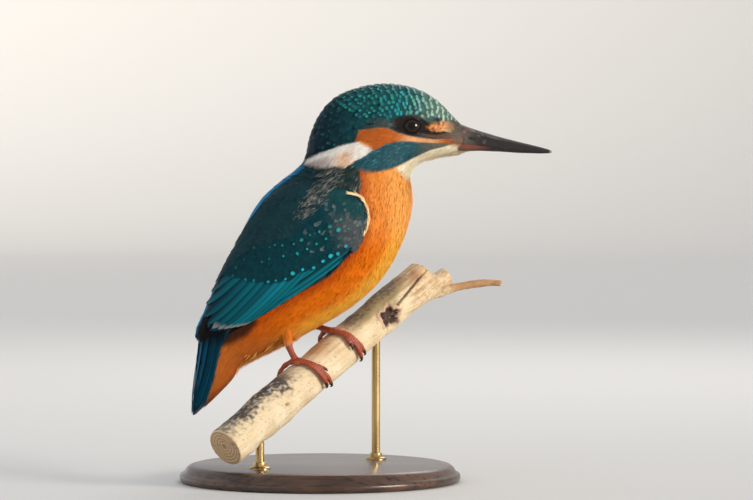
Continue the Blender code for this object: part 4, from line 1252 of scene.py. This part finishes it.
def spotted_coverts(side, name):
    """The coverts that end in a pale blue spot, in three rows over the plain ones."""
    tips = np.vstack([row[0] for row in SPOTTED_ROWS])
    sizes = np.vstack([np.tile(row[1:], (len(row[0]), 1)) for row in SPOTTED_ROWS])
    count = len(tips)
    tips = tips + chance.normal(0, 0.32, tips.shape)
    places = on_side(*tips.T, side)[0]
    rows = laid_back(places, sizes[:, 0], ROUND_MARKS, wing_lie, sway=2.0, loft=0.02, depth=0.4)
    rows = raised(rows, COVERT_LIFT + 0.14)
    tone = wing_tone(rows[0][:, -1])[:, None, :] * chance.uniform(0.9, 1.1, (count, 1, 1))
    colors = np.repeat(tone, len(ROUND_OVER) * len(ROUND_SWELL) + 1, axis=1)
    spots = np.empty((count, 7))
    spots[:, 0] = chance.uniform(0.30, 0.58, count) * sizes[:, 1]
    spots[:, 1] = spots[:, 0] * chance.uniform(0.7, 1.3, count)
    spots[:, 2] = spots[:, 1]
    spots[:, 3] = np.interp(tips[:, 0], [-32, -24, -12, -7, 6, 10, 13],
                            [0.22, 0.40, 0.75, 1.0, 1.0, 0.9, 0.3])
    spots[:, 4:] = sizes[:, 2:] * chance.uniform(0.7, 1.2, (count, 1))
    vanes(name, rows, sizes[:, 1:2] * ROUND_SWELL, 0.08, colors, ROUND_MARKS, spotted_mat, "feather_wing",
          ROUND_OVER, soft=0.9, spots=spots)


def shoulder_feathers(side, name):
    """Long smooth feathers from the back over the wing's top and down the rump, azure where they meet."""
    def here(p):
        rump = (inside(p, RUMP) > 0) & (np.abs(p[:, 1]) < 8.0)
        shoulder = (inside(p, SHOULDER) > 0) & (p[:, 2] > 60)
        return (p[:, 1] * side > 0) & (shoulder | rump) & (inside(p, BACK) > 0.5)

    def way_at(p, lean):
        share = 0.6 * ease(np.abs(p[:, 1]), 4, 10)[:, None]
        return unit(lie(p, lean) * (1 - share) + wing_lie(p, lean) * share)

    tips = scatter(here, lambda p: 1.0 + 0.30 * ease(np.abs(p[:, 1]), 5, 9))
    count = len(tips)
    wide = ease(np.abs(tips[:, 1]), 5, 9)
    top = ease(tips[:, 2], 105, 112)
    rows = laid_back(tips, chance.uniform(6.0, 8.5, count) * (1 - 0.35 * top), SMALL_MARKS, way_at, sway=4,
                     loft=0.05, depth=(0.6 + 0.5 * top)[:, None])
    above = 0.12 + 0.70 * wide * (1 - top) * ease(tips[:, 2], 71, 73)
    rows = raised(rows, above[:, None, None])
    half = ((0.95 + 0.6 * wide) * chance.uniform(0.9, 1.1, count))[:, None] * SMALL_SWELL
    places = rows[0][:, -1]
    off = np.abs(places[:, 1])
    by_middle = ease(-off - 1.4 * (mixed(places, 1.8, 59) - 0.5), -7.4, -5.6)
    tone = layered(
        SHOULDER_DARK * chance.uniform(0.85, 1.15, (count, 1)),
        (AZURE, by_middle * chance.uniform(0.8, 1.0, count)),
        (DOWN_GREY, 0.7 * near_ruffle(places) * chance.uniform(0.5, 1.3, count)),
        # Black low on the rump's sides: the far primaries with painted shadow of the wing tips.
        (PRIMARY_BLACK, ease(off, 5.2, 6.6) * ease(-places[:, 2], -64, -60)),
    )
    colors = down_vanes(tone, 0.8, 0.95, 1.0, 1.03, 1.05, 1.06)
    vanes(name, rows, half, 0.08, colors, SMALL_MARKS, dark_mat, "feather_wing", soft=0.9)


for side, word in SIDES:
    plain_coverts(side, f"coverts_{word}")
    spotted_coverts(side, f"spotted_coverts_{word}")
    shoulder_feathers(side, f"shoulder_feathers_{word}")

# A rim of cream down edges the bend of each wing, and ruffled pale tufts stand where the shoulder feathers
# end.
BEND_RIM = [(12.2, 106.5), (14.4, 105.8), (16.1, 104.0), (17.3, 101.3), (17.7, 98.9), (17.4, 96.0),
            (16.4, 93.2), (15.2, 91.0)]
CREAM_DOWN = [(0.88, 0.66, 0.36), (0.80, 0.56, 0.28)]
PALE_DOWN = [(0.022, 0.042, 0.048)] * 5 + [(0.10, 0.12, 0.115)] * 4 + [(0.19, 0.20, 0.185)] * 4
PALE_DOWN += [(0.34, 0.32, 0.275)] * 2


def edge_tufts(side, name, line, count, size, spread, tones, turn, sway):
    """Tufts of down strewn along a line in side view, lying along it and turned partly the wing's way. size
    is their length, half width and loft, and spread how far they stray at the line's two ends."""
    length, half, loft = size
    line = np.array(line, float)
    reached = np.concatenate([[0], np.cumsum(np.linalg.norm(np.diff(line, axis=0), axis=1))])
    marks = np.sort(chance.random(count)) * reached[-1]
    spread = np.interp(marks / reached[-1], [0, 1], spread)
    x, z = (np.interp(marks, reached, line[:, i]) + chance.normal(0, 1, count) * spread for i in (0, 1))
    runs = np.stack([np.interp(marks, reached, np.gradient(line[:, i])) for i in (0, 1)], axis=1)
    runs = np.insert(unit(runs), 1, 0.0, axis=1) + WING_WAY * turn
    tips = on_side(x, z, side)[0]
    rows = laid_back(tips, length * chance.uniform(0.7, 1.2, count), BODY_MARKS,
                     lambda p, lean: level(runs, lean), sway=sway, loft=loft, depth=0.25)
    share = np.clip((mixed(tips, 1.2, 63) + chance.normal(0, 0.10, count) - 0.25) * 2, 0, 0.99)
    tone = np.array(tones)[(share * len(tones)).astype(int)] * chance.uniform(0.7, 1.2, (count, 1))
    vanes(name, raised(rows, COVERT_LIFT + 0.16), half * np.ones((count, 1)) * BODY_SWELL, 0.2,
          down_vanes(tone, 0.6, 0.85, 1.0, 1.1), BODY_MARKS, dark_mat, "feather_wing")


for side, word in SIDES:
    edge_tufts(side, f"bend_rim_{word}", BEND_RIM, 190, (2.6, 0.18, 0.12), (0.06, 0.06), CREAM_DOWN, 0.0, 8)
    edge_tufts(side, f"ruffled_tufts_{word}", RUFFLE, 620, (3.2, 0.11, 0.34), (1.9, 0.9), PALE_DOWN, 0.8, 14)

# ==================================================================== tail
# Twelve short stiff feathers, folded nearly flat and curved round the coverts beneath: the middle pair lies
# on top and each next one shows only its outer web. They are dark blue, brightest on the middle pairs; the
# outer pairs' darkness on the tail's sides is partly their own colour and partly painted shade.
RECTRIX_MARKS = np.array((0.0, 0.15, 0.3, 0.45, 0.6, 0.75, 0.87, 0.95, 1.0))
RECTRIX_SWELL = np.array((0.8, 0.9, 1.0, 1.0, 1.0, 0.97, 0.88, 0.60))
TAIL_ROOT, TAIL_TIP, TAIL_TILT = 60.0, 24.6, 0.10
TAIL_BACK = [(23.6, -48.0), (31.8, -47.6), (40.7, -46.9), (52.0, -44.9), (62.0, -44.2)]
TAIL_SIDE = [(24.6, -45.9), (30.9, -42.9), (37.1, -39.9), (42.5, -37.6), (50.0, -36.9), (60.0, -35.0)]
TAIL_AZURE, TAIL_DEEP, TAIL_WING_SHADOW = (0.004, 0.390, 0.760), (0.002, 0.046, 0.076), (0.003, 0.004, 0.005)
PAIR_AZURE, PAIR_DEEP = (1.0, 0.80, 0.45, 0.22, 0.15, 0.14), (1.5, 1.1, 0.7, 0.55, 0.45, 0.4)  # outwards
MIDDLE_WEB, TAIL_WEB = np.array(((0.5, 0.4, 0.3, 0.4, 0.8, 1.0, 1.0), (0.0, 0.0, 0.1, 0.2, 0.5, 0.8, 1.0)))


def tail_shaft(number, side):
    """Where one tail feather's shaft runs on the outline, from root to tip."""
    line = []
    for z in TAIL_ROOT + (TAIL_TIP + 0.35 * number - TAIL_ROOT) * RECTRIX_MARKS:
        back, edge = np.interp(z, *np.array(TAIL_BACK).T), np.interp(z, *np.array(TAIL_SIDE).T)
        middle = Vector((back + min(3.0, 0.7 * (edge - back)), 0, z))
        hits = []
        for turn in np.radians(np.arange(0, 150, 5)):
            hit = outer.ray_cast(middle, Vector((-math.cos(turn), side * math.sin(turn), 0)))[0]
            hits.append(hit if hit is not None else middle)
            if hit is not None and hit.x > edge:
                break
        reached = np.concatenate([[0], np.cumsum([(b - a).length for a, b in zip(hits, hits[1:])])])
        wanted = reached[-1] * (number + 0.45) / len(PAIR_AZURE) - (0.5 if number == 0 else 0.0)
        line.append([np.interp(wanted, reached, [hit[i] for hit in hits]) for i in range(3)])
    return np.array(line)


def tail_feathers(name):
    rows = []
    for number in range(len(PAIR_AZURE) - 1, -1, -1):
        for side in (1, -1):
            line = tail_shaft(number, side)
            web = (TAIL_WEB if number else MIDDLE_WEB)[::side]
            bright = np.array(TAIL_AZURE) * PAIR_AZURE[number]
            shade = layered(np.array(TAIL_DEEP) * PAIR_DEEP[number], (bright, web))
            shade = np.tile(shade, (len(RECTRIX_SWELL), 1))
            # Where the wing tips lie over the tail, the outer feathers are darkened: painted shadow.
            shaded_by_wing = np.repeat(ease(line[:-1, 2], 50.5, 53.5), len(web)) * (number > 0)
            shade = layered(shade, (TAIL_WING_SHADOW, 0.92 * shaded_by_wing)).reshape(len(RECTRIX_SWELL), -1, 3)
            lift = 0.28 - 0.05 * number - 0.5 * (1 - RECTRIX_MARKS) ** 2
            rows.append((*on_outline(line), lift, (1.75 - 0.03 * number) * RECTRIX_SWELL, shade))
    stiff_vanes(name, rows, RECTRIX_MARKS, 0.06, TAIL_TILT,
                lambda way, p: -np.sign(way[..., 1:2] * p[..., 1:2]), "feather_azure")


tail_feathers("tail_feathers")

# ==================================================================== loose tufts
# Longer soft feathers stand a little off the body at its edges: cream ones below the bill's root, golden ones
# along the lower belly and down to the vent, and small trousers where each leg comes out.
CHIN_FOOT = [(38.0, 117.6), (39.6, 118.0), (42.6, 119.0), (46.4, 119.7), (49.4, 120.2), (52.2, 121.5),
             (54.0, 122.4)]
CHIN_TOP = [(38, 121.0), (44, 122.6), (50, 123.2), (54.5, 122.9)]
CHIN_CREAM, VENT_GOLD = (1.0, 0.88, 0.64), (0.98, 0.36, 0.03)
VENT_CREAM, LEG_GOLD = (1.0, 0.62, 0.24), (0.78, 0.20, 0.015)


def hung(name, roots, tips, lean, half, tint, sag=0.0):
    """Feathers hung straight from roots to tips, each facing its lean, and bowed out a little between."""
    t = BODY_MARKS[None, :, None]
    up = np.repeat(lean[:, None], len(BODY_MARKS), axis=1)
    line = roots[:, None] * (1 - t) + tips[:, None] * t
    line = line + up * (sag * t * (1 - t) * 4)
    way = unit(np.gradient(line, axis=1))
    colors = np.clip(down_vanes(tint, 0.75, 0.92, 1.0, 1.05), 0, 1)
    vanes(name, (line, level(up, way), way), half[:, None] * BODY_SWELL, 0.15, colors, BODY_MARKS, coat_mat,
          "feather_orange")


def chin_tufts(name, count):
    x = chance.uniform(39.0, 54.0, count)
    foot, top = np.interp(x, *np.array(CHIN_FOOT).T), np.interp(x, *np.array(CHIN_TOP).T)
    down = chance.random(count) ** 0.6
    y = chance.uniform(-1, 1, count) * np.interp(x, [39, 48, 54], [3.6, 2.9, 1.0])
    round_off = np.sqrt(np.clip(1 - (y / np.interp(x, [39, 48, 54], [5.0, 3.9, 1.8])) ** 2, 0, 1))
    z = top - (top - foot) * down * round_off
    tips = np.stack([x, y, z + chance.normal(0, 0.08, count)], axis=1)
    reach = chance.uniform(2.2, 3.2, count)
    rise = 0.55 * reach * down * np.interp(x, [44, 54], [1.0, 0.35])
    roots = tips + np.stack([reach, -y * 0.12, rise], axis=1)
    roots = np.minimum(roots, (56.2, FAR, 124.0))
    tint = np.array(CHIN_CREAM) * chance.uniform(0.86, 1.02, (count, 1))
    hung(name, roots, tips, on_outline(tips)[1], chance.uniform(0.20, 0.30, count), tint)


def vent_tufts(name, count):
    x = chance.uniform(-32, -9, count)
    y = chance.normal(-0.6, 1, count) * np.interp(x, [-32, -20, 0, 14], [1.4, 2.2, 2.8, 2.8])
    ends = []
    for a, b in zip(x, y):
        hit = outer.ray_cast(Vector((a, b, 20)), Vector((0, 0, 1)))[0]
        ends.append(hit if hit is not None else Vector((a, 0, 60)))
    places, lean = on_outline(np.array(ends))
    stand = chance.uniform(0.0, 1.0, count) + 0.05
    tips = places + lean * stand[:, None]
    roots = places - lie(places, lean) * chance.uniform(3.5, 5.5, count)[:, None] - lean * 0.9
    gold = layered(VENT_GOLD, (VENT_CREAM, chance.random(count) * ease(-x, -6, 22) * 0.7))
    gold = gold * chance.uniform(0.8, 1.05, (count, 1))
    hung(name, roots, tips, on_outline(tips)[1], chance.uniform(0.10, 0.19, count), gold, sag=0.25)


def trousers(side, name, count):
    """The short feathers round the top of a leg."""
    ankle = np.array(ANKLES[side])
    turn, down = chance.uniform(0, math.tau, count), chance.random(count)
    around = np.stack([np.cos(turn), np.sin(turn), 0 * turn], axis=1)
    foot = ankle + np.array((0.2, 0, -2.2)) + np.array((-0.5, 0, 4.4)) * (1 - down)[:, None]
    tips = foot + around * (2.3 - 0.95 * down)[:, None]
    tips[:, 2] += chance.normal(0, 0.6, count)
    roots = ankle + np.array((-0.9, -0.5 * side, 6.4)) + around * 1.5
    tint = layered(LEG_GOLD, (VENT_CREAM, ease(down, 0.35, 0.9) * chance.random(count)))
    tint = tint * chance.uniform(0.8, 1.05, (count, 1))
    hung(name, roots, tips, around, chance.uniform(0.18, 0.28, count), tint, sag=0.3)


chin_tufts("chin_tufts", 900)
vent_tufts("vent_tufts", 900)
for side, word in SIDES:
    trousers(side, f"leg_feathers_{word}", 260)

# ==================================================================== eyes
# Each eye is a dark brown ball deep in the head, of which a round window about 5.6 mm wide shows between thin
# scaly lids. The cornea is clear and wet.
EYE_BALL, EYE_WINDOW, EYE_STANDS = 4.3, 2.58, 0.05
PUPIL_EDGE, IRIS_EDGE = (0.00135, 0.00160), (0.0023, 0.0027)
iris, tree, shader = surface("eye_brown", (0.02, 0.008, 0.005), 0.04, Coat_Weight=1.0, Coat_Roughness=0.03,
                             Coat_IOR=1.28, Specular_IOR_Level=0.1)
place = node(tree, "SeparateXYZ", {0: node(tree, "TexCoord").outputs["Object"]}).outputs
off_x = sum_of(tree, "SUBTRACT", place["X"], float(EYE[0] * MM))
off_z = sum_of(tree, "SUBTRACT", place["Z"], float(EYE[2] * MM))
radius = vector_of(tree, "LENGTH", node(tree, "CombineXYZ", {"X": off_x, "Z": off_z}).outputs[0])
streaks = mottle(tree, 1800, detail=3.0)
brown = blend(tree, streaks, (0.009, 0.0035, 0.0025), (0.034, 0.012, 0.007), 0.35, 0.65)
tone = blend(tree, radius, (0.0015, 0.0012, 0.0012), brown, *PUPIL_EDGE)
dress(tree, shader, blend(tree, radius, tone, (0.004, 0.003, 0.003), *IRIS_EDGE))

lid_mat, tree, shader = surface("lid_skin", (0.02, 0.018, 0.018), 0.75, Specular_IOR_Level=0.12)
grit = mottle(tree, 3200, detail=2.0)
tone = blend(tree, grit, (0.003, 0.002, 0.002), (0.015, 0.011, 0.009), 0.4, 0.85)
dress(tree, shader, tone, height=grit, depth=0.0001, strength=0.6)


def on_face(side, radius, turn):
    """Places on the head round the eye, radius out from its middle, and which way the head faces there."""
    return on_side(EYE[0] + radius * np.cos(turn), EYE[2] + radius * np.sin(turn), side)


for side, word in SIDES:
    rim = on_face(side, EYE_WINDOW, np.linspace(0, math.tau, 48, endpoint=False))[0]
    middle = rim.mean(axis=0)
    out = unit(np.cross(rim[12] - rim[36], rim[0] - rim[24]))
    out = out * np.sign(out[1]) * side
    rim_radius = np.linalg.norm(rim - middle, axis=1).mean()
    centre = middle - out * (math.sqrt(EYE_BALL**2 - rim_radius**2) - EYE_STANDS)
    eye_bm = bmesh.new()
    bmesh.ops.create_uvsphere(eye_bm, u_segments=64, v_segments=40, radius=EYE_BALL * MM)
    outwards = Vector(out).to_track_quat("Z", "Y").to_matrix().to_4x4()
    set_in = Matrix.Translation(Vector(centre) * MM) @ outwards
    bmesh.ops.transform(eye_bm, matrix=set_in, verts=eye_bm.verts[:])
    fixed(finished(f"eye_ball_{word}", eye_bm, iris), "eye", f"eye_{word}")

    # The lids: a rim of small beads of skin round the window, drawn out to a point at its front and back
    # corners.
    beads = []
    for turn in np.linspace(0, math.tau, 110, endpoint=False):
        corner = abs(math.cos(turn)) ** 9
        drawn_out = corner * (0.75 if math.cos(turn) > 0 else 0.5)
        window = EYE_WINDOW * (1.0 - 0.06 * abs(math.sin(turn))) + drawn_out
        (spot,), (lean,) = on_face(side, np.array([window]), turn)
        ball = unit(spot - centre) * (EYE_BALL + 0.06) + centre
        place = ball * (1 - corner) + (spot + lean * 0.02) * corner
        beads.append((Vector(place), 0.27 + 0.04 * math.sin(turn * 31)))
    lid_bm = bmesh.new()
    strung(lid_bm, beads)
    lid_bm = smoothed(remeshed(lid_bm, 0.11 * MM), 2)
    fixed(finished(f"lids_{word}", lid_bm, lid_mat), "eye")

# ==================================================================== bill
# A long dagger of black horn in two halves that close along a fine straight gape. The culmen is a narrow
# ridge, a slit of a nostril lies by the root, and the horn is scuffed pale where it rubs on sand and fish.
# The top of the culmen and its ridge carry a painted highlight.

# How far out each ring stands, the heights of culmen, gape and underside there, and the half width.
BILL_STATIONS = [(47.0, 134.0, 125.6, 122.6, 4.9), (50.0, 133.4, 125.3, 122.5, 4.75),
                 (52.0, 132.4, 125.1, 122.5, 4.5), (55.5, 131.0, 124.9, 122.4, 3.9),
                 (59.2, 129.8, 124.4, 122.5, 3.4), (66.6, 127.6, 123.5, 122.2, 2.6),
                 (74.0, 125.7, 122.8, 121.7, 1.85), (81.4, 123.9, 122.4, 121.5, 1.05),
                 (84.6, 122.95, 122.2, 121.6, 0.5), (85.9, 122.45, 122.1, 121.85, 0.16)]
BILL_LENGTHS, BILL_SIDES = 120, 40
CULMEN = [(52, 132.0), (55.7, 130.2), (66.3, 126.6), (86, 122.4)]
HORN_BLACK, HORN_TOP_HIGHLIGHT = (0.018, 0.015, 0.015), (0.078, 0.072, 0.078)
ROOT_BROWN, CULMEN_HIGHLIGHT = (0.075, 0.060, 0.050), (0.30, 0.27, 0.25)
SCUFFED, NOSTRIL_SHADE, WORN_POINT = (0.20, 0.175, 0.16), (0.012, 0.010, 0.010), (0.45, 0.40, 0.33)
SORE_PINK, LOWER_RED, LOWER_BROWN = (0.34, 0.13, 0.11), (0.24, 0.060, 0.032), (0.10, 0.052, 0.035)


def bill_half(name, upper, slot):
    """One half of the bill, drawn out of a ring along its length."""
    table = np.array(BILL_STATIONS)
    bm = bmesh.new()
    ring = bmesh.ops.create_circle(bm, cap_ends=False, segments=BILL_SIDES, radius=1.0)["verts"]
    around = [math.atan2(vert.co.y, vert.co.x) for vert in ring]
    edges = bm.edges[:]
    for step, x in enumerate(np.linspace(table[0, 0], table[-1, 0], BILL_LENGTHS)):
        if step:
            grown = bmesh.ops.extrude_edge_only(bm, edges=edges)["geom"]
            ring = [item for item in grown if isinstance(item, bmesh.types.BMVert)]
            edges = [item for item in grown if isinstance(item, bmesh.types.BMEdge) and item.is_boundary]
            edges = [edge for edge in edges if all(vert in ring for vert in edge.verts)]
        culmen, gape, under, half = (np.interp(x, table[:, 0], table[:, column]) for column in range(1, 5))
        for vert, turn in zip(ring, around):
            across, up = math.cos(turn), math.sin(turn)
            if upper:
                height = (culmen - gape) * abs(up) ** 1.25 if up > 0 else -0.10 * half * (1 - across**2)
                wide = math.copysign(abs(across) ** 0.72, across) * half
            else:
                height = (under - gape) * abs(up) ** 0.9 if up < 0 else 0.05 * half * (1 - across**2)
                wide = math.copysign(abs(across) ** 0.62, across) * half * 0.94
            vert.co = Vector((x, wide, gape + height + (0.03 if upper else -0.03))) * MM
    bmesh.ops.holes_fill(bm, edges=[edge for edge in bm.edges if edge.is_boundary], sides=BILL_SIDES)
    bmesh.ops.recalc_face_normals(bm, faces=bm.faces[:])
    bm.normal_update()
    places, leans = points_of(bm)
    x, y, z = mirrored(places).T
    dent = np.zeros(len(places))
    if upper:
        slit = np.hypot((x - 55.4) / 2.3, (z - 127.1 + 0.10 * (x - 55.4)) / 0.34)
        dent -= 0.55 * ease(-slit, -1.25, -0.3) * (y > 1)
        dent += 0.12 * ease(-np.abs(slit - 1.9), -0.9, 0) * (y > 1)
        dent -= 0.16 * ease(-np.abs(z - (126.0 - 0.105 * (x - 52))), -0.35, 0) * ease(-x, -78, -60)
    grain = 0.05 * lumps(places * (0.18, 1, 1), 0.5, 31) + 0.04 * lumps(places, 0.45, 32)
    dent += grain * ease(-x, -84, -72)
    move_to(bm, places + leans * dent[:, None])
    made = finished(name, bm, horn)
    made.data.set_sharp_from_angle(angle=math.radians(62))
    scuff = ease(lumps(places * (0.22, 1, 1), 0.55, 33) + 0.6 * lumps(places, 1.6, 34), 0.25, 0.7)
    ridge = z - np.interp(x, *np.array(CULMEN, float).T)
    ridge_highlight = ease(-np.abs(ridge), -0.42, -0.05) * ease(-x, -67.5, -64.5)
    tones = layered(
        HORN_BLACK,
        # Paler along the culmen's top and ridge: painted highlight, broken up by the scuffs.
        (HORN_TOP_HIGHLIGHT, 0.8 * ease(ridge, -0.3, 0.5) * ease(x, 56, 63)),
        (ROOT_BROWN, 0.85 * ease(-x, -60, -55)),
        (CULMEN_HIGHLIGHT, 0.85 * ridge_highlight * (0.35 + 0.65 * scuff)),
        (SCUFFED, 0.5 * scuff * ease(-x, -72, -57)),
        # Dark in the nostril's hollow: painted shade.
        (NOSTRIL_SHADE, 0.9 * (dent < -0.25)),
    )
    if upper:
        tones = layered(tones, (SORE_PINK, 0.8 * ease(-np.hypot(x - 53.2, z - 129.3), -0.8, -0.25)))
    else:
        tones = layered(
            tones,
            (LOWER_RED, 0.75 * ease(-x, -65, -57) * ease(z, 122.5, 123.6)),
            (LOWER_BROWN, 0.6 * ease(-x, -65, -57) * ease(-z, -123.2, -122.6)),
        )
    paint(made.data, "tone", layered(tones, (WORN_POINT, 0.9 * ease(x, 84.6, 85.6))))
    fixed(made, slot, "bill_upper" if upper else "bill_lower")


horn, tree, shader = surface("bill_horn", (0.02, 0.02, 0.02), 0.4, Specular_IOR_Level=0.32)
tone = attribute(tree, "tone")
scratch = mottle(tree, 2400, (0.10, 1, 1), 3.0)
tone = blend(tree, scratch, tone, (0.12, 0.105, 0.095), 0.62, 0.95)
dress(tree, shader, tone, scratch, (0.30, 0.55), scratch, 0.00006, 0.4)
bill_half("bill_upper_horn", True, "bill")
bill_half("bill_lower_horn", False, "bill_lower")

# ==================================================================== claws
# Short dark claws of horn end the toes and hook into the wood. Each is a skin drawn over balls strung along a
# curve and thinning to its point.
claw_mat, tree, shader = surface("claw_horn", (0.02, 0.015, 0.013), 0.3)
growth = mottle(tree, 2000, detail=2.0)
tone = blend(tree, growth, (0.012, 0.009, 0.008), (0.070, 0.050, 0.040), 0.35, 0.75)
dress(tree, shader, tone, growth, (0.22, 0.45))
for side, word in SIDES:
    beads = []
    for toe in TOES:
        for t in np.linspace(0, 1, 22):
            out = CLAW_FROM - 0.02 + (1.0 - CLAW_FROM + 0.02) * t
            place = on_toe(side, toe, out, 0.55 * math.sin(math.pi * t) - 0.75 * t)[0]
            beads.append((place, 0.66 * (1 - t) ** 0.8 + 0.10))
    claw_bm = bmesh.new()
    strung(claw_bm, beads)
    claw_bm = smoothed(remeshed(claw_bm, 0.12 * MM), 2)
    fixed(finished(f"claws_{word}", claw_bm, claw_mat), "legs")
